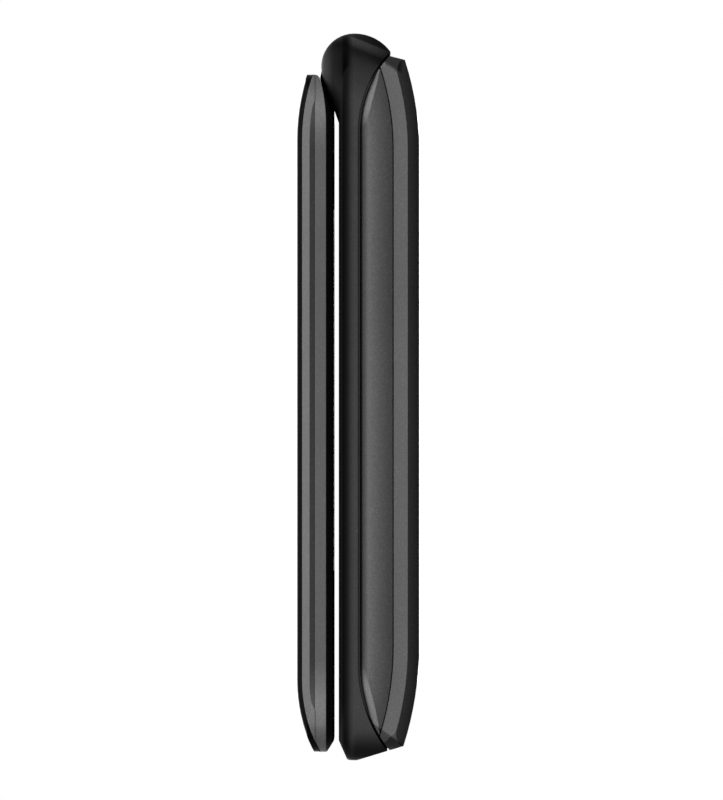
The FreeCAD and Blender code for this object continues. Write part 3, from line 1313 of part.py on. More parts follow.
# ------------------------------------------------------------------------------------------------ primitives


def box(name, x, y, z, width, length, height):
    item = doc.addObject("Part::Box", name)
    for prop, size in (("Length", width), ("Width", length), ("Height", height),
                       ("Placement.Base.x", x), ("Placement.Base.y", y), ("Placement.Base.z", z)):
        bind(item, prop, size)
    return item


def cylinder(name, x, y, z, radius, height):
    item = doc.addObject("Part::Cylinder", name)
    for prop, size in (("Radius", radius), ("Height", height),
                       ("Placement.Base.x", x), ("Placement.Base.y", y), ("Placement.Base.z", z)):
        bind(item, prop, size)
    return item


def grouped(name, items):
    group = doc.addObject("Part::Compound", name)
    group.Links = items
    return group


def screw_set(name, places, head_under, head_radius, head_height, shank_radius, reach):
    """Pan-head screws with their heads down, as one group of separate solids."""
    screws = []
    for k, (x, y) in enumerate(places):
        head = cylinder("%s_head_%d" % (name, k), x, y, head_under, head_radius, head_height)
        shank = cylinder("%s_shank_%d" % (name, k), x, y, head_under + head_height / 2, shank_radius,
                         reach + head_height / 2)
        screw = doc.addObject("Part::Fuse", "%s_%d" % (name, k))
        screw.Base, screw.Tool = head, shank
        screws.append(screw)
    return grouped(name, screws)


# ------------------------------------------------------------------------------------------------ build

board_top = floor_top + s.board_rise + s.board_thickness

PIECES = (front_housing, seam_gasket, rear_housing, battery_cover, battery, battery_contacts, main_board,
          shield_can,
          dome_sheet, microphone, loudspeaker, vibration_motor, aerial, charge_port, volume_rocker,
          base_screws,
          hinge_sleeve, hinge_flex, hinge_cam, hinge_cartridge, lid_inner_housing, lid_shell, lid_trim_frame,
          lid_outer_cover, outer_display_window, outer_display, main_display_window, main_display,
          camera_window, camera_module, earpiece_grille, earpiece_speaker, lid_board, lid_screws,
          lid_screw_caps)

nodes = [build() for build in PIECES] + [key_piece(key) for key in keys()]
doc.recompute()

broken = [item.Label for item in doc.Objects if {"Invalid", "Error"} & set(item.State)]
bad = [node.Label for node in nodes if node.Shape.isNull() or not node.Shape.isValid() or not node.Shape.Solids]
if broken or bad:
    raise SystemExit("failed objects: %s; bad shapes: %s" % (broken, bad))

os.makedirs("parts", exist_ok=True)
for node in nodes:
    node.Shape.exportStep(os.path.join("parts", node.Label + ".step"))
print(len(nodes), "pieces written")
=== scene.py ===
"""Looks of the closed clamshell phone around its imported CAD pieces.

Adds materials, key legends, small trim, light, floor and camera. Lengths are in metres unless a line says mm.
"""

import math

import bmesh
import bpy
from mathutils import Matrix, Vector


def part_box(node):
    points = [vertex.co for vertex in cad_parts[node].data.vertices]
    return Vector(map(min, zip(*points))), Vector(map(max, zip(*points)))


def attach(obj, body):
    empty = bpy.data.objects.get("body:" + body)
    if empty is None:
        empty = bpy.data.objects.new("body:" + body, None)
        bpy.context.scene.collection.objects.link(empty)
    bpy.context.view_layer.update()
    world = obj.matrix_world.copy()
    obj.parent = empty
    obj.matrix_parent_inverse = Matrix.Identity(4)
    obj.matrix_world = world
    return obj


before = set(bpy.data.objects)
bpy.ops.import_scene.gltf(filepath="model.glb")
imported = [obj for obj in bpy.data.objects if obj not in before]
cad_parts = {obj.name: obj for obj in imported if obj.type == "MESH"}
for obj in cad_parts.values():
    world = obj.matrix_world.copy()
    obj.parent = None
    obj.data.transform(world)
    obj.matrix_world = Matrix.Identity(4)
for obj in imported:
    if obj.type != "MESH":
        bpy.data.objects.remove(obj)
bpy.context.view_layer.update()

MM = 0.001
ACROSS, ALONG, UP = 0, 1, 2                     # axes: over the phone's width, along it, and off its back
MIX_FIRST, MIX_SECOND, MIX_RESULT = 6, 7, 2     # the colour sockets of Blender's Mix node
BLOB_LOW, BLOB_HIGH = 0.3, 0.7                  # noise values between which its blobs fade in
RELIEF_DEPTH = 0.0001
SHARP_EDGE, SOFT_EDGE = 0.00012, 0.0002         # radii that make edges look rounded
GRAIN_SIZE = 0.00012
FLAKE_SIZE = 0.00009
CLOUD_SIZE, SCUFF_SIZE, SMEAR_SIZE = 0.018, 0.004, 0.011
SMEAR_LOW, SMEAR_HIGH = 0.35, 0.75              # noise values between which smears fade in
WORN_LIFT, FLAKE_LIFT = 2.2, 3.0                # how much brighter worn edges and metal flakes are
CAMERA_Y = 37.44                                # middle of the phone's own camera, in mm

scene = bpy.context.scene
scene.view_settings.view_transform = "Standard"


# ---------------------------------------------------------------------------------------------- materials


def rgb(value, tint=(1.0, 1.0, 1.0)):
    return tuple(value * part for part in tint) + (1.0,)


class Nodes:
    """A short way to add and join the nodes of one material."""

    def __init__(self, name):
        self.material = bpy.data.materials.new(name)
        self.material.use_nodes = True
        self.tree = self.material.node_tree
        self.tree.nodes.clear()
        coordinates = self.add("ShaderNodeTexCoord").outputs
        self.place = coordinates["Object"]
        self.normal = coordinates["Normal"]

    def add(self, kind, inputs=(), **settings):
        node = self.tree.nodes.new(kind)
        for key, value in settings.items():
            setattr(node, key, value)
        for key, value in dict(inputs).items():
            self.give(node.inputs[key], value)
        return node

    def give(self, socket, value):
        if isinstance(value, bpy.types.NodeSocket):
            self.tree.links.new(value, socket)
        else:
            socket.default_value = value

    def maths(self, operation, first, second=0.0, clamp=False):
        node = self.add("ShaderNodeMath", {0: first, 1: second}, operation=operation, use_clamp=clamp)
        return node.outputs[0]

    def blend(self, kind, factor, first, second):
        node = self.add("ShaderNodeMix", {0: factor, MIX_FIRST: first, MIX_SECOND: second},
                        data_type="RGBA", blend_type=kind)
        return node.outputs[MIX_RESULT]

    def mix(self, factor, first, second):
        return self.blend("MIX", factor, first, second)

    def times(self, shade, levels, factor=1.0):
        return self.blend("MULTIPLY", factor, shade, levels)

    def noise(self, size, detail=2.0):
        """Noise whose blobs are about this many metres across."""
        node = self.add("ShaderNodeTexNoise", {"Vector": self.place, "Scale": 1.0 / size, "Detail": detail})
        return node.outputs[0]

    def between(self, value, low, high, out_low=0.0, out_high=1.0):
        """Runs from out_low to out_high while the value runs from low to high, and stays there beyond."""
        node = self.add("ShaderNodeMapRange", {0: value, 1: low, 2: high, 3: out_low, 4: out_high})
        return node.outputs[0]

    def blobs(self, size, detail, out_low=0.0, out_high=1.0):
        return self.between(self.noise(size, detail), BLOB_LOW, BLOB_HIGH, out_low, out_high)

    def axis(self, vector, index):
        return self.add("ShaderNodeSeparateXYZ", {0: vector}).outputs[index]

    def grey(self, level):
        return self.add("ShaderNodeCombineColor", {0: level, 1: level, 2: level}).outputs[0]

    def ramp(self, value, points):
        """Grey level that runs straight from point to point; a point is (value in mm, level)."""
        low, high = points[0][0], points[-1][0]
        node = self.add("ShaderNodeValToRGB", {0: self.between(value, low * MM, high * MM)})
        elements = node.color_ramp.elements
        elements[0].color = rgb(points[0][1])
        elements[1].color = rgb(points[-1][1])
        for at, level in points[1:-1]:
            elements.new((at - low) / (high - low)).color = rgb(level)
        return node.outputs[0]

    def relief(self, height, strength, normal=None, depth=RELIEF_DEPTH):
        inputs = {"Strength": strength, "Distance": depth, "Height": height}
        if normal is not None:
            inputs["Normal"] = normal
        return self.add("ShaderNodeBump", inputs).outputs[0]

    def surface(self, colour, roughness, more=()):
        """Principled shader; more holds its further sockets by name."""
        inputs = {"Base Color": colour, "Roughness": roughness, **dict(more)}
        return self.add("ShaderNodeBsdfPrincipled", inputs).outputs[0]

    def mix_shaders(self, factor, first, second):
        return self.add("ShaderNodeMixShader", {0: factor, 1: first, 2: second}).outputs[0]

    def finish(self, shader):
        self.add("ShaderNodeOutputMaterial", {"Surface": shader})
        return self.material


def edge_mask(n, radius):
    """Rounded normal, and 1 on edges and 0 on flats: how far that normal leans from the true one."""
    rounded = n.add("ShaderNodeBevel", {"Radius": radius}, samples=4).outputs[0]
    true = n.add("ShaderNodeNewGeometry").outputs["Normal"]
    facing = n.add("ShaderNodeVectorMath", {0: rounded, 1: true}, operation="DOT_PRODUCT").outputs["Value"]
    flat, full_edge = 0.995, 0.90
    return rounded, n.between(facing, flat, full_edge)


def worn(n, shade, edges, wear):
    """The shade, made brighter in patches on the edges that hands polish."""
    scuffs = n.between(n.noise(SCUFF_SIZE, 4.0), 0.45, 0.7, 0.4, 1.0)
    share = n.maths("MULTIPLY", n.maths("MULTIPLY", edges, scuffs), wear)
    return n.mix(share, shade, n.times(shade, rgb(WORN_LIFT)))


def plastic(name, colour, roughness, specular=0.5, wear=0.25, bump=0.012, cloud=0.06, flake=0.0, coat=0.0,
            metallic=0.0, rounding=SHARP_EDGE, paint_light=None):
    """Moulded or lacquered plastic: cloudy colour, fine grain in the gloss, edges polished by use.

    Its last argument is a function that paints shade and highlights into the colour over the piece, by place
    and facing.
    """
    n = Nodes(name)
    rounded, edges = edge_mask(n, rounding)
    grains = n.noise(GRAIN_SIZE, 1.0)
    shade = n.mix(n.blobs(CLOUD_SIZE, 3.0), rgb(1 - cloud, colour), rgb(1 + cloud, colour))
    # painted shade and highlights over the piece, from the given function
    if paint_light:
        shade = paint_light(n, shade)
    if flake:
        cells = n.add("ShaderNodeTexVoronoi", {"Vector": n.place, "Scale": 1.0 / FLAKE_SIZE}).outputs["Color"]
        brightest = n.add("ShaderNodeSeparateColor", {0: cells}).outputs[0]
        shade = n.mix(n.between(brightest, 0.80, 1.0, 0.0, flake), shade, n.times(shade, rgb(FLAKE_LIFT)))
    shade = worn(n, shade, edges, wear)
    gloss = n.between(grains, BLOB_LOW, BLOB_HIGH, roughness * 0.86, roughness * 1.14)
    smears = n.between(n.noise(SMEAR_SIZE, 5.0), SMEAR_LOW, SMEAR_HIGH, -0.03, 0.05)
    gloss = n.maths("ADD", gloss, smears, clamp=True)
    return n.finish(n.surface(shade, gloss, {
        "Normal": n.relief(grains, bump, rounded), "Specular IOR Level": specular, "Coat Weight": coat,
        "Coat Roughness": 0.08, "Metallic": metallic}))


def piano(name, colour):
    """Polished black lacquer: mirror gloss with faint smears on its broad top, satin on its rounded edge."""
    n = Nodes(name)
    rounded, edges = edge_mask(n, SHARP_EDGE)
    grains = n.noise(GRAIN_SIZE, 1.0)
    shade = n.mix(n.blobs(CLOUD_SIZE, 3.0), rgb(0.94, colour), rgb(1.06, colour))
    shade = worn(n, shade, edges, 0.3)
    smears = n.between(n.noise(SMEAR_SIZE, 5.0), SMEAR_LOW, SMEAR_HIGH, 0.05, 0.12)
    satin = n.between(grains, BLOB_LOW, BLOB_HIGH, 0.12, 0.16)
    relief = n.relief(grains, 0.004, rounded)
    edge = n.surface(shade, satin, {"Normal": relief, "Specular IOR Level": 0.006})
    top = n.surface(shade, smears, {"Normal": relief, "Specular IOR Level": 0.15})
    broad = n.between(n.axis(n.normal, UP), 0.90, 0.985)
    return n.finish(n.mix_shaders(broad, edge, top))


def steel(name, colour, roughness, along=(1.0, 40.0, 40.0)):
    """Turned or rolled metal with fine lines across one direction."""
    n = Nodes(name)
    rounded, edges = edge_mask(n, 0.00008)
    stretched = n.add("ShaderNodeMapping", {"Vector": n.place, "Scale": along}).outputs[0]
    lines = n.add("ShaderNodeTexNoise", {"Vector": stretched, "Scale": 300.0, "Detail": 3.0}).outputs[0]
    shade = n.mix(n.between(lines, BLOB_LOW, BLOB_HIGH), rgb(0.85, colour), rgb(1.1, colour))
    shade = n.mix(n.maths("MULTIPLY", edges, 0.5), shade, rgb(1.4, colour))
    gloss = n.between(lines, BLOB_LOW, BLOB_HIGH, roughness * 0.8, roughness * 1.25)
    return n.finish(n.surface(shade, gloss, {"Metallic": 1.0, "Normal": n.relief(lines, 0.05, rounded)}))


def window(name, half_x, half_y, middle_y, border, smoke, veil=0.6):
    """Clear hard-coated window with a black printed border round its view area; round where half_y is 0."""
    n = Nodes(name)
    parts = n.add("ShaderNodeSeparateXYZ", {0: n.place}).outputs
    from_middle = n.maths("SUBTRACT", parts[ALONG], middle_y)
    if half_y:
        across = n.maths("SUBTRACT", n.maths("ABSOLUTE", parts[ACROSS]), half_x - border)
        along = n.maths("SUBTRACT", n.maths("ABSOLUTE", from_middle), half_y - border)
        past = n.maths("MAXIMUM", across, along)
    else:
        squares = n.maths("ADD", n.maths("POWER", parts[ACROSS], 2.0), n.maths("POWER", from_middle, 2.0))
        past = n.maths("SUBTRACT", n.maths("SQRT", squares), half_x - border)
    printed = n.between(past, -0.00002, 0.00002)
    haze = n.between(n.noise(0.006, 4.0), 0.3, 0.8, 0.03, 0.09)
    clear = n.surface(smoke, haze, {"Alpha": veil, "Specular IOR Level": 0.1})
    ink = n.surface(n.grey(n.blobs(0.0002, 1.0, 0.0035, 0.006)), haze, {"Specular IOR Level": 0.1})
    inner_side = n.add("ShaderNodeNewGeometry").outputs["Backfacing"]
    through = n.add("ShaderNodeBsdfTransparent").outputs[0]
    return n.finish(n.mix_shaders(inner_side, n.mix_shaders(printed, clear, ink), through))


def woven(name, pitch, colour):
    """Fine cloth of crossing threads."""
    n = Nodes(name)
    threads = [n.between(n.maths("PINGPONG", n.axis(n.place, index), pitch), 0.0, pitch)
               for index in (ACROSS, ALONG)]
    height = n.maths("MAXIMUM", *threads)
    shade = n.mix(height, rgb(0.35, colour), rgb(1.8, colour))
    return n.finish(n.surface(shade, 0.8, {"Normal": n.relief(height, 0.5)}))


def panel(name, pitch, colour):
    """Display panel behind its window: fine rows and columns of cells."""
    n = Nodes(name)
    columns, rows = [n.between(n.maths("PINGPONG", n.axis(n.place, index), pitch), 0.0, pitch, 0.9, 1.0)
                     for index in (ACROSS, ALONG)]
    shade = n.mix(n.blobs(0.02, 2.0), rgb(1.0, colour), rgb(1.5, colour))
    shade = n.mix(n.maths("MULTIPLY", columns, rows), rgb(0.75, colour), shade)
    return n.finish(n.surface(shade, 0.6, {"Specular IOR Level": 0.2}))


def board(name):
    """Solder resist over copper tracks and pads."""
    n = Nodes(name)
    resist, pad = (0.012, 0.085, 0.035), (0.65, 0.48, 0.2)
    tracks = n.add("ShaderNodeTexBrick", {
        "Vector": n.place, "Scale": 420.0, "Mortar Size": 0.06,
        "Color1": rgb(0.9), "Color2": rgb(0.4), "Mortar": rgb(1.6)}).outputs[0]
    cells = n.add("ShaderNodeTexVoronoi", {"Vector": n.place, "Scale": 600.0}, feature="F1")
    dots = cells.outputs["Distance"]
    shade = n.times(rgb(1.0, resist), tracks)
    shade = n.mix(n.between(dots, 0.18, 0.14), shade, rgb(1.0, pad))
    return n.finish(n.surface(shade, 0.35, {"Normal": n.relief(dots, 0.2, depth=0.00005)}))


def leaning(n, along, height, slope, level=0.0):
    """Place along the phone, moved with height above a level so that lines of equal value lean."""
    if level:
        height = n.maths("SUBTRACT", height, level)
    return n.maths("SUBTRACT", along, n.maths("MULTIPLY", height, slope))


def front_painted_light(n, shade):
    """Painted shade on the dark grey sides: black at the front edge and the chin, fading over the hinge dome
    with a painted dark line and a painted highlight there; a dark deck.
    """
    along, height = n.axis(n.place, ALONG), n.axis(n.place, UP)
    # painted shade by height: darkest on the front edge's rounding, dark on the deck, lighter towards the
    # dome's top
    by_height = n.ramp(height, (
        (9.7, 0.72), (10.1, 0.46), (10.4, 0.20), (10.7, 0.05), (11.0, 0.01), (11.3, 0.02), (11.5, 0.14),
        (12.8, 0.16), (14.4, 0.70), (14.6, 0.70)))
    # painted shade towards the chin corner
    by_chin = n.ramp(n.maths("ADD", along, n.between(height, 0.0094, 0.0100, 0.0, 0.0010)), (
        (-54.0, 0.03), (-53.3, 0.06), (-52.7, 0.12), (-52.1, 0.21), (-51.5, 0.35), (-50.9, 0.52),
        (-50.3, 0.72), (-49.7, 0.92), (-49.0, 1.0)))
    # painted shade towards the hinge dome, with a painted dark line and a painted highlight above it
    by_ears = n.ramp(leaning(n, along, height, 0.4, 0.0103), (
        (44.5, 1.0), (47.3, 0.68), (50.0, 0.45), (51.4, 0.20), (52.0, 0.18), (53.0, 0.80), (53.5, 1.0),
        (53.7, 0.30), (54.8, 0.25)))
    return n.times(n.times(n.times(shade, by_height), by_chin), by_ears)


def bevel_painted_shade(n, shade):
    """Painted shade: a dark line on the bevel under the parting line, kept bright only where it widens near
    both ends, and dark end facets.
    """
    along, height = n.axis(n.place, ALONG), n.axis(n.place, UP)
    # painted shade on the end facets at the chin and at the hinge
    chin_facet = n.ramp(leaning(n, along, height, 0.72), ((-53.5, 0.10), (-53.2, 1.0)))
    ear_facet = n.ramp(leaning(n, along, height, 0.68), ((46.1, 1.0), (46.5, 0.25)))
    # painted shade along the bevel's middle
    bevel = n.ramp(along, (
        (-54.0, 0.10), (-49.5, 0.10), (-47.5, 0.9), (-43.0, 1.0), (-40.0, 0.06), (40.0, 0.06), (43.0, 1.0),
        (46.5, 1.0), (48.5, 0.3), (52.0, 0.2)))
    on_side = n.between(height, 0.0024, 0.0028)
    on_bevel = n.between(n.axis(n.normal, UP), 0.45, 0.56)
    return n.times(n.times(n.times(shade, chin_facet, on_side), ear_facet, on_side), bevel, on_bevel)


def band_painted_shade(n, shade):
    """Rear housing: the bevel's painted shade and dark end facets, and painted shade on the side that darkens
    it under the bevel.
    """
    # painted shade across the side, deepest just under the bevel
    side = n.ramp(n.axis(n.place, UP), (
        (4.3, 0.90), (5.5, 0.96), (7.5, 1.0), (7.7, 0.85), (7.95, 0.5), (8.3, 0.4)))
    off_bevel = n.between(n.axis(n.normal, UP), 0.50, 0.30)
    return n.times(bevel_painted_shade(n, shade), side, off_bevel)


def lid_painted_light(n, shade):
    """Lid side with a painted highlight that lightens it towards both ends and painted shade that makes it
    black at their tips; facets keep one even shade.
    """
    # painted highlight towards both ends and painted shade at the tips; the middle's 0.51 brings the lid
    # colour back to GREY
    levels = n.ramp(n.axis(n.place, ALONG), (
        (-53.0, 0.03), (-52.5, 0.04), (-52.3, 0.40), (-51.2, 0.45), (-49.7, 0.67), (-48.2, 1.0), (-45.2, 1.0),
        (-42.5, 0.74), (-39.2, 0.51), (36.8, 0.51), (39.8, 0.70), (42.5, 0.92), (44.3, 0.82), (45.8, 0.70),
        (47.4, 0.56), (47.6, 0.04), (48.2, 0.03)))
    on_side = n.between(n.axis(n.normal, UP), 0.3, 0.2)
    return n.times(shade, n.mix(on_side, rgb(0.32), levels))


GREY = (0.085, 0.085, 0.0845)
# lid colour at the brightest of its painted highlight; the lid's painted light scales it back to GREY along
# the side's middle
LID_HIGHLIGHT_GREY = tuple(part / 0.51 for part in GREY)
COVER_GREY = tuple(part * 0.66 for part in GREY)
FRONT_GREY = (0.065, 0.065, 0.0655)
looks = {
    "grey": plastic("grey_lacquer", GREY, roughness=0.46, specular=0.25, flake=0.35, paint_light=band_painted_shade),
    "cover": plastic("cover_lacquer", COVER_GREY, roughness=0.46, specular=0.20, flake=0.35, paint_light=bevel_painted_shade),
    "lid_grey": plastic("lid_lacquer", LID_HIGHLIGHT_GREY, roughness=0.46, specular=0.25, flake=0.35, paint_light=lid_painted_light),
    "front": plastic("front_lacquer", FRONT_GREY, roughness=0.46, specular=0.02, flake=0.25, wear=0.1,
                     paint_light=front_painted_light),
    "black": plastic("inner_black", (0.0008, 0.0008, 0.0009), roughness=0.30, specular=0.02, wear=0.4,
                     cloud=0.15),
    "piano": piano("outer_black", (0.0028, 0.0028, 0.003)),
    "key": plastic("key_lacquer", (0.022, 0.022, 0.023), roughness=0.38, specular=0.3, flake=0.2,
                   rounding=SOFT_EDGE),
    "silver": plastic("silver_paint", (0.24, 0.24, 0.245), roughness=0.34, specular=0.4, metallic=0.3,
                      flake=0.5, rounding=SOFT_EDGE),
    "dark_part": plastic("moulded_black", (0.012, 0.012, 0.013), roughness=0.55, specular=0.4, bump=0.05),
    "wrap": plastic("battery_wrap", (0.035, 0.036, 0.040), roughness=0.40, specular=0.5, bump=0.03),
    "rubber": plastic("rubber", (0.010, 0.010, 0.010), roughness=0.80, specular=0.3, bump=0.10),
    "film": plastic("film", (0.45, 0.45, 0.44), roughness=0.35, specular=0.5, bump=0.03),
    "flex": plastic("polyimide", (0.30, 0.13, 0.03), roughness=0.30, specular=0.5, bump=0.03),
    "legend": plastic("legend_ink", (0.62, 0.63, 0.64), roughness=0.45, specular=0.4, wear=0.0),
    "legend_green": plastic("legend_green", (0.05, 0.42, 0.12), roughness=0.45, specular=0.4, wear=0.0),
    "legend_red": plastic("legend_red", (0.55, 0.05, 0.04), roughness=0.45, specular=0.4, wear=0.0),
    "lens_core": plastic("lens_core", (0.006, 0.005, 0.014), roughness=0.06, specular=0.6, bump=0.0,
                         coat=0.6),
    "gauze": woven("gauze", pitch=0.00022, colour=(0.02, 0.02, 0.021)),
    "gold": steel("gold_plate", (0.83, 0.61, 0.26), roughness=0.25),
    "steel": steel("machined_steel", (0.55, 0.55, 0.56), roughness=0.30),
    "dark_steel": steel("dark_steel", (0.16, 0.16, 0.165), roughness=0.38),
    "can": steel("tin_plate", (0.62, 0.62, 0.60), roughness=0.34, along=(40.0, 1.0, 40.0)),
    "board": board("circuit_board"),
    "main_window": window("main_window", half_x=0.019, half_y=0.027, middle_y=0.001, border=0.0022,
                          smoke=(0.026, 0.029, 0.035, 1.0)),
    "outer_window": window("outer_window", half_x=0.015, half_y=0.013, middle_y=0.014, border=0.0030,
                           smoke=(0.011, 0.013, 0.016, 1.0)),
    "lens": window("lens_window", half_x=0.0024, half_y=0.0, middle_y=CAMERA_Y * MM, border=0.0008,
                   smoke=(0.01, 0.01, 0.012, 1.0), veil=0.2),
    "main_panel": panel("main_panel", pitch=0.00015, colour=(0.030, 0.034, 0.042)),
    "outer_panel": panel("outer_panel", pitch=0.00018, colour=(0.012, 0.014, 0.017)),
}

NODE_LOOKS = {
    "front_housing": "front", "rear_housing": "grey", "battery_cover": "cover", "lid_shell": "lid_grey",
    "lid_trim_frame": "lid_grey", "seam_gasket": "rubber", "lid_inner_housing": "black",
    "lid_outer_cover": "piano", "outer_display_window": "outer_window", "outer_display": "outer_panel",
    "main_display_window": "main_window", "main_display": "main_panel", "camera_window": "lens",
    "camera_module": "dark_part", "earpiece_grille": "dark_steel", "earpiece_speaker": "dark_part",
    "lid_board": "board", "lid_screws": "steel", "lid_screw_caps": "rubber", "battery": "wrap",
    "battery_contacts": "dark_part", "main_board": "board", "shield_can": "can", "dome_sheet": "film",
    "microphone": "can", "loudspeaker": "dark_part", "vibration_motor": "steel", "aerial": "dark_part",
    "charge_port": "can", "volume_rocker": "grey", "base_screws": "steel", "hinge_sleeve": "steel",
    "hinge_flex": "flex", "hinge_cam": "steel", "hinge_cartridge": "steel", "navigation_ring": "silver",
}

for name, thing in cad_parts.items():
    thing.data.materials.clear()
    thing.data.materials.append(looks[NODE_LOOKS.get(name, "key")])


# ---------------------------------------------------------------------------------------------- details

# lengths from here to the light are in mm
INK = 0.02          # how far a sign stands proud of its key
SUNK = 0.01         # and how far it reaches into it


def upright(u, v, w):
    """Outline seen from above, thickness off the back."""
    return u, v, w


def sideways(u, v, w):
    """Outline seen from the side, thickness across the phone."""
    return w, u, v


def prism(bm, outline, low, high, place=upright):
    """Closed plate from an outline of (u, v) points, between two levels; place turns both into x, y, z."""
    rings = [[bm.verts.new(Vector(place(u, v, w)) * MM) for u, v in outline] for w in (low, high)]
    bm.faces.new(rings[0])
    bm.faces.new(rings[1])
    for k in range(len(outline)):
        after = (k + 1) % len(outline)
        bm.faces.new((rings[0][k], rings[0][after], rings[1][after], rings[1][k]))


def lathe(bm, x, y, profile, steps=56):
    """Closed ring or dome from a profile of (radius, height) points, turned about an upright axis."""
    rings = []
    for radius, height in profile:
        turns = [2 * math.pi * k / steps for k in range(steps)] if radius else [0.0]
        rings.append([bm.verts.new(Vector((x + radius * math.cos(a), y + radius * math.sin(a), height)) * MM)
                      for a in turns])
    for low, high in zip(rings, rings[1:] + rings[:1]):
        for k in range(steps):
            after = (k + 1) % steps
            corners = [low[k % len(low)], low[after % len(low)], high[after % len(high)], high[k % len(high)]]
            corners = list(dict.fromkeys(corners))
            if len(corners) > 2:
                bm.faces.new(corners)


def write(bm, text, x, y, size, level):
    """Legend characters centred on a point, as far above the level as below."""
    curve = bpy.data.curves.new("characters", "FONT")
    curve.body = text
    curve.size = size * MM
    curve.extrude = INK * MM / 2
    curve.align_x = curve.align_y = "CENTER"
    curve.resolution_u = 4
    holder = bpy.data.objects.new("characters", curve)
    mesh = bpy.data.meshes.new_from_object(holder)
    mesh.transform(Matrix.Translation(Vector((x, y, level)) * MM))
    bm.from_mesh(mesh)
    bpy.data.objects.remove(holder)
    bpy.data.curves.remove(curve)
    bpy.data.meshes.remove(mesh)


def sign(bm, outline, top):
    """Flat sign that stands a little proud of a key's top."""
    prism(bm, outline, top - SUNK, top + INK)


def piece(name, bm, body, look):
    """Object from this mesh that rides on a body, with a look."""
    bmesh.ops.recalc_face_normals(bm, faces=bm.faces)
    mesh = bpy.data.meshes.new(name)
    bm.to_mesh(mesh)
    bm.free()
    mesh.materials.append(looks[look])
    item = bpy.data.objects.new(name, mesh)
    scene.collection.objects.link(item)
    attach(item, body)


def key_top(node):
    """Middle of a key and the height of its top."""
    low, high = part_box(node)
    return (low[0] + high[0]) / 2 / MM, (low[1] + high[1]) / 2 / MM, high[2] / MM


def pill(x, y, length, width):
    """Bar with round ends along x."""
    half, radius, steps = (length - width) / 2, width / 2, 6
    right = [math.radians(-90 + 180 * k / steps) for k in range(steps + 1)]
    return ([(x + half + radius * math.cos(a), y + radius * math.sin(a)) for a in right]
            + [(x - half - radius * math.cos(a), y - radius * math.sin(a)) for a in right])


def arrow(x, y, turn, size):
    """Triangle that points along turn, in degrees."""
    points = []
    for corner, far in ((0, 1.0), (115, 0.9), (180, 0.30), (245, 0.9)):
        a = math.radians(turn + corner)
        points.append((x + size * math.cos(a) * far, y + size * math.sin(a) * far))
    return points


def handset(x, y, size):
    """Telephone handset that lies as a flat arch, thicker at both ends."""
    steps, start, sweep = 20, 152, 124
    radius, drop, grip = size * 0.62, size * 0.42, 0.55
    outer, inner = [], []
    for k in range(steps + 1):
        turn = math.radians(start - sweep * k / steps)
        end = max(0.0, (abs(2 * k / steps - 1) - grip) / 0.45)
        half = size * (0.075 + 0.10 * math.sqrt(end))
        for side, distance in ((outer, radius + half * 0.5), (inner, radius - half * 1.5)):
            side.append((x + distance * math.cos(turn), y - drop + distance * math.sin(turn)))
    return outer + inner[::-1]


FIGURE_SIZE, STAR_SIZE, CLEAR_SIZE, HANDSET_SIZE, ARROW_SIZE = 5.0, 6.2, 3.6, 5.2, 1.1
FIGURE_LEFT = 2.6                               # of the key's middle, where letters stand beside it
LETTERS_RIGHT, LETTERS_DOWN = 2.4, 0.3
LETTER_SIZE, FOUR_LETTER_SIZE = 2.5, 2.0
END_BAR, END_BAR_DOWN = (1.6, 0.4), 2.4         # length and width of a bar, and its place under the handset
SOFT_BAR = (3.4, 0.55)
ARROW_RING = 7.2
NUMBER_WORDS = {"1": "", "2": "ABC", "3": "DEF", "4": "GHI", "5": "JKL", "6": "MNO", "7": "PQRS", "8": "TUV",
                "9": "WXYZ", "0": "+", "star": "", "hash": ""}
for name, letters in NUMBER_WORDS.items():
    x, y, top = key_top("number_key_" + name)
    bm = bmesh.new()
    figure = {"star": "*", "hash": "#"}.get(name, name)
    size = STAR_SIZE if name == "star" else FIGURE_SIZE
    write(bm, figure, x - FIGURE_LEFT if letters else x, y, size, top)
    if letters:
        size = LETTER_SIZE if len(letters) < 4 else FOUR_LETTER_SIZE
        write(bm, letters, x + LETTERS_RIGHT, y - LETTERS_DOWN, size, top)
    piece("legend_" + name, bm, "number_key_" + name, "legend")

for name, look in (("send_key", "legend_green"), ("end_key", "legend_red")):
    x, y, top = key_top(name)
    bm = bmesh.new()
    sign(bm, handset(x, y, HANDSET_SIZE), top)
    if name == "end_key":
        sign(bm, pill(x, y - END_BAR_DOWN, *END_BAR), top)
    piece("legend_" + name, bm, name, look)

for name in ("soft_key_left", "soft_key_right"):
    x, y, top = key_top(name)
    bm = bmesh.new()
    sign(bm, pill(x, y, *SOFT_BAR), top)
    piece("legend_" + name, bm, name, "legend")

x, y, top = key_top("clear_key")
bm = bmesh.new()
write(bm, "C", x, y, CLEAR_SIZE, top)
piece("legend_clear", bm, "clear_key", "legend")

x, y, top = key_top("navigation_ring")
bm = bmesh.new()
for turn in (0, 90, 180, 270):
    away = math.radians(turn)
    sign(bm, arrow(x + ARROW_RING * math.cos(away), y + ARROW_RING * math.sin(away), turn, ARROW_SIZE), top)
piece("legend_ring", bm, "navigation_ring", "dark_part")

x, y, top = key_top("centre_key")
bm = bmesh.new()
inner, outer = 2.5, 2.9
lathe(bm, x, y, ((inner, top - SUNK), (outer, top - SUNK), (outer, top + INK), (inner, top + INK)))
piece("legend_centre", bm, "centre_key", "silver")

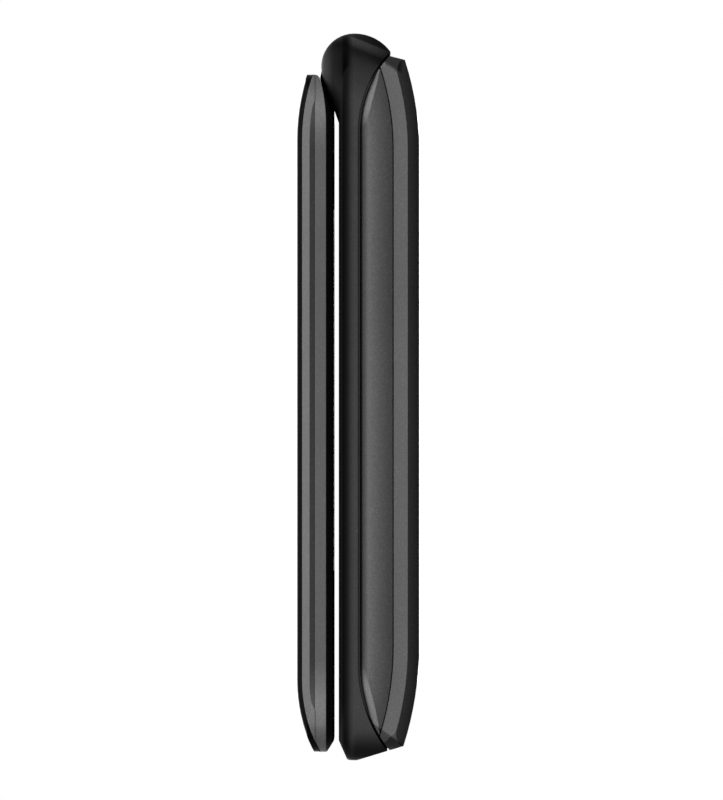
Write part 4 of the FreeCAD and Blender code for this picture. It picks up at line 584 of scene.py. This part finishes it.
# phone's camera: bright ring round its window, iris and lens under the window
COVER_TOP = 18.21
MODULE_TOP = 17.27
CAMERA_RING = ((2.42, -0.1), (2.42, 0.0), (2.47, 0.035), (2.58, 0.05), (2.72, 0.035), (2.80, 0.0),
               (2.80, -0.1))
CAMERA_IRIS = ((0.90, -0.02), (0.90, 0.05), (1.00, 0.08), (1.30, 0.09), (1.42, 0.05), (1.42, -0.02))
CAMERA_LENS = ((0, 0.10), (0.35, 0.09), (0.65, 0.06), (0.87, 0.0), (0.87, -0.02), (0, -0.02))
for name, profile, base, slot, look in (
        ("camera_ring", CAMERA_RING, COVER_TOP, "trim_silver", "silver"),
        ("camera_iris", CAMERA_IRIS, MODULE_TOP, "steel", "dark_steel"),
        ("camera_lens", CAMERA_LENS, MODULE_TOP, "display_glass", "lens_core")):
    bm = bmesh.new()
    lathe(bm, 0, CAMERA_Y, [(radius, base + rise) for radius, rise in profile])
    piece(name, bm, "lid", look)

# cloth behind the loudspeaker slots, on the inside of the battery cover
CLOTH_Y, CLOTH_REACH = 34.5, 4.3
CLOTH_OUTLINE = ((-5.2, -0.9), (-4.9, -1), (4.9, -1), (5.2, -0.9), (5.2, 0.9), (4.9, 1), (-4.9, 1),
                 (-5.2, 0.9))
CLOTH_LEVELS = 1.06, 1.12
bm = bmesh.new()
prism(bm, [(x, y * CLOTH_REACH + CLOTH_Y) for x, y in CLOTH_OUTLINE], *CLOTH_LEVELS)
piece("speaker_cloth", bm, "battery_cover", "gauze")

# gold: strips on the tongue of the charge port, springs and pads between the battery and its contact block
STRIP_OUTLINE = ((-52.55, 9.49), (-52.4, 9.53), (-49.6, 9.53), (-49.5, 9.49))
SPRING_OUTLINE = ((-30.42, 2.8), (-30.30, 3.2), (-30.25, 3.6), (-30.25, 3.9), (-30.30, 4.3), (-30.42, 4.7))
PAD_OUTLINE = ((-30.19, 3.1), (-30.225, 3.15), (-30.225, 4.35), (-30.19, 4.4))
FOUR_STEPS, FIVE_STEPS = (-1.5, -0.5, 0.5, 1.5), (-2, -1, 0, 1, 2)
for name, outline, steps, pitch, half in (
        ("port_strips", STRIP_OUTLINE, FIVE_STEPS, 1.0, 0.18),
        ("battery_springs", SPRING_OUTLINE, FOUR_STEPS, 1.8, 0.5),
        ("battery_pads", PAD_OUTLINE, FOUR_STEPS, 1.8, 0.5)):
    bm = bmesh.new()
    for step in steps:
        prism(bm, outline, step * pitch - half, step * pitch + half, sideways)
    piece(name, bm, "base", "gold")

# painted shade: dark crosses that stand for the shadowed cross recesses in the heads of the four housing
# screws
SCREWS_X, SCREWS_Y = (-21.8, 21.8), (40.4, -45.0)
CROSS_LEVELS = 4.365, 4.40
ARM, HALF = 0.85, 0.16
CROSS = ((HALF, ARM), (-HALF, ARM), (-HALF, HALF), (-ARM, HALF), (-ARM, -HALF), (-HALF, -HALF), (-HALF, -ARM),
         (HALF, -ARM), (HALF, -HALF), (ARM, -HALF), (ARM, HALF), (HALF, HALF))
bm = bmesh.new()
for x in SCREWS_X:
    for y in SCREWS_Y:
        prism(bm, [(x + u, y + v) for u, v in CROSS], *CROSS_LEVELS)
piece("screw_recess_shade", bm, "base", "dark_part")


# ---------------------------------------------------------------------------------------------- light

PHONE_MIDDLE = Vector((0, 0, 0.009))


def softbox(name, place, size, level):
    """Square soft light that gives a surface facing it, near the phone, about this level."""
    data = bpy.data.lights.new(name, "AREA")
    data.size = size
    half = size / 2 / Vector(place).length
    share = 4 / math.pi * half / math.hypot(1, half) * math.atan(half / math.hypot(1, half))
    data.energy = level * math.pi * size ** 2 / share
    item = bpy.data.objects.new(name, data)
    scene.collection.objects.link(item)
    item.location = place
    item.rotation_mode = "QUATERNION"
    item.rotation_quaternion = (PHONE_MIDDLE - item.location).to_track_quat("-Z", "Y")


softbox("key", place=(0.34, 0.10, 0.66), size=1.30, level=1.60)
softbox("left_fill", place=(-0.65, -0.1, 0.25), size=0.5, level=0.40)

# surroundings: AMBIENT lights matt surfaces, and BACKDROP is what the camera, reflections and glass see
AMBIENT, BACKDROP = 0.45, 1.0
world = bpy.data.worlds.new("studio")
scene.world = world
world.use_nodes = True
tree = world.node_tree
tree.nodes.clear()
rays = tree.nodes.new("ShaderNodeLightPath")
seen = rays.outputs["Is Camera Ray"]
for other in ("Is Glossy Ray", "Is Transmission Ray"):
    either = tree.nodes.new("ShaderNodeMath")
    either.operation = "MAXIMUM"
    tree.links.new(seen, either.inputs[0])
    tree.links.new(rays.outputs[other], either.inputs[1])
    seen = either.outputs[0]
blend = tree.nodes.new("ShaderNodeMixShader")
tree.links.new(seen, blend.inputs[0])
for side, strength in ((1, AMBIENT), (2, BACKDROP)):
    background = tree.nodes.new("ShaderNodeBackground")
    background.inputs["Color"].default_value = (1, 1, 1, 1)
    background.inputs["Strength"].default_value = strength
    tree.links.new(background.outputs[0], blend.inputs[side])
surface = tree.nodes.new("ShaderNodeOutputWorld")
tree.links.new(blend.outputs[0], surface.inputs["Surface"])

# floor: white to the camera, dark to the light that bounces off it
FLOOR_REACH = 0.30
FLOOR_DROP = 0.00002
BOUNCE = 0.06
n = Nodes("floor")
camera_ray = n.add("ShaderNodeLightPath").outputs["Is Camera Ray"]
colour = n.mix(camera_ray, rgb(BOUNCE), n.grey(n.blobs(0.05, 2.0, 0.98, 1.0)))
floor_look = n.finish(n.add("ShaderNodeBsdfDiffuse", {"Color": colour}).outputs[0])
floor_mesh = bpy.data.meshes.new("floor")
corners = [(x * FLOOR_REACH, y * FLOOR_REACH, 0) for x, y in ((-1, -1), (1, -1), (1, 1), (-1, 1))]
floor_mesh.from_pydata(corners, [], [(0, 1, 2, 3)])
floor = bpy.data.objects.new("floor", floor_mesh)
floor.location.z = -FLOOR_DROP
floor_mesh.materials.append(floor_look)
scene.collection.objects.link(floor)


# ---------------------------------------------------------------------------------------------- camera

LENS = 1400.0               # in mm; so long that the view is almost parallel
SENSOR = 36.0               # in mm
VIEW_HEIGHT = 0.11942       # of the picture, at the phone
AIM = Vector((0, -0.00045, 0.008577))
EYE_LEVEL = 0.004

camera_data = bpy.data.cameras.new("camera")
camera_data.lens = LENS
camera_data.sensor_width = SENSOR
camera_data.clip_start = 0.1
camera_data.clip_end = 20.0
camera = bpy.data.objects.new("camera", camera_data)
scene.collection.objects.link(camera)
scene.camera = camera
camera.location = (VIEW_HEIGHT / SENSOR * LENS, AIM.y, EYE_LEVEL)
back = (camera.location - AIM).normalized()
right = Vector((0, 1, 0)).cross(back).normalized()
camera.rotation_mode = "QUATERNION"
camera.rotation_quaternion = Matrix((right, back.cross(right), back)).transposed().to_quaternion()
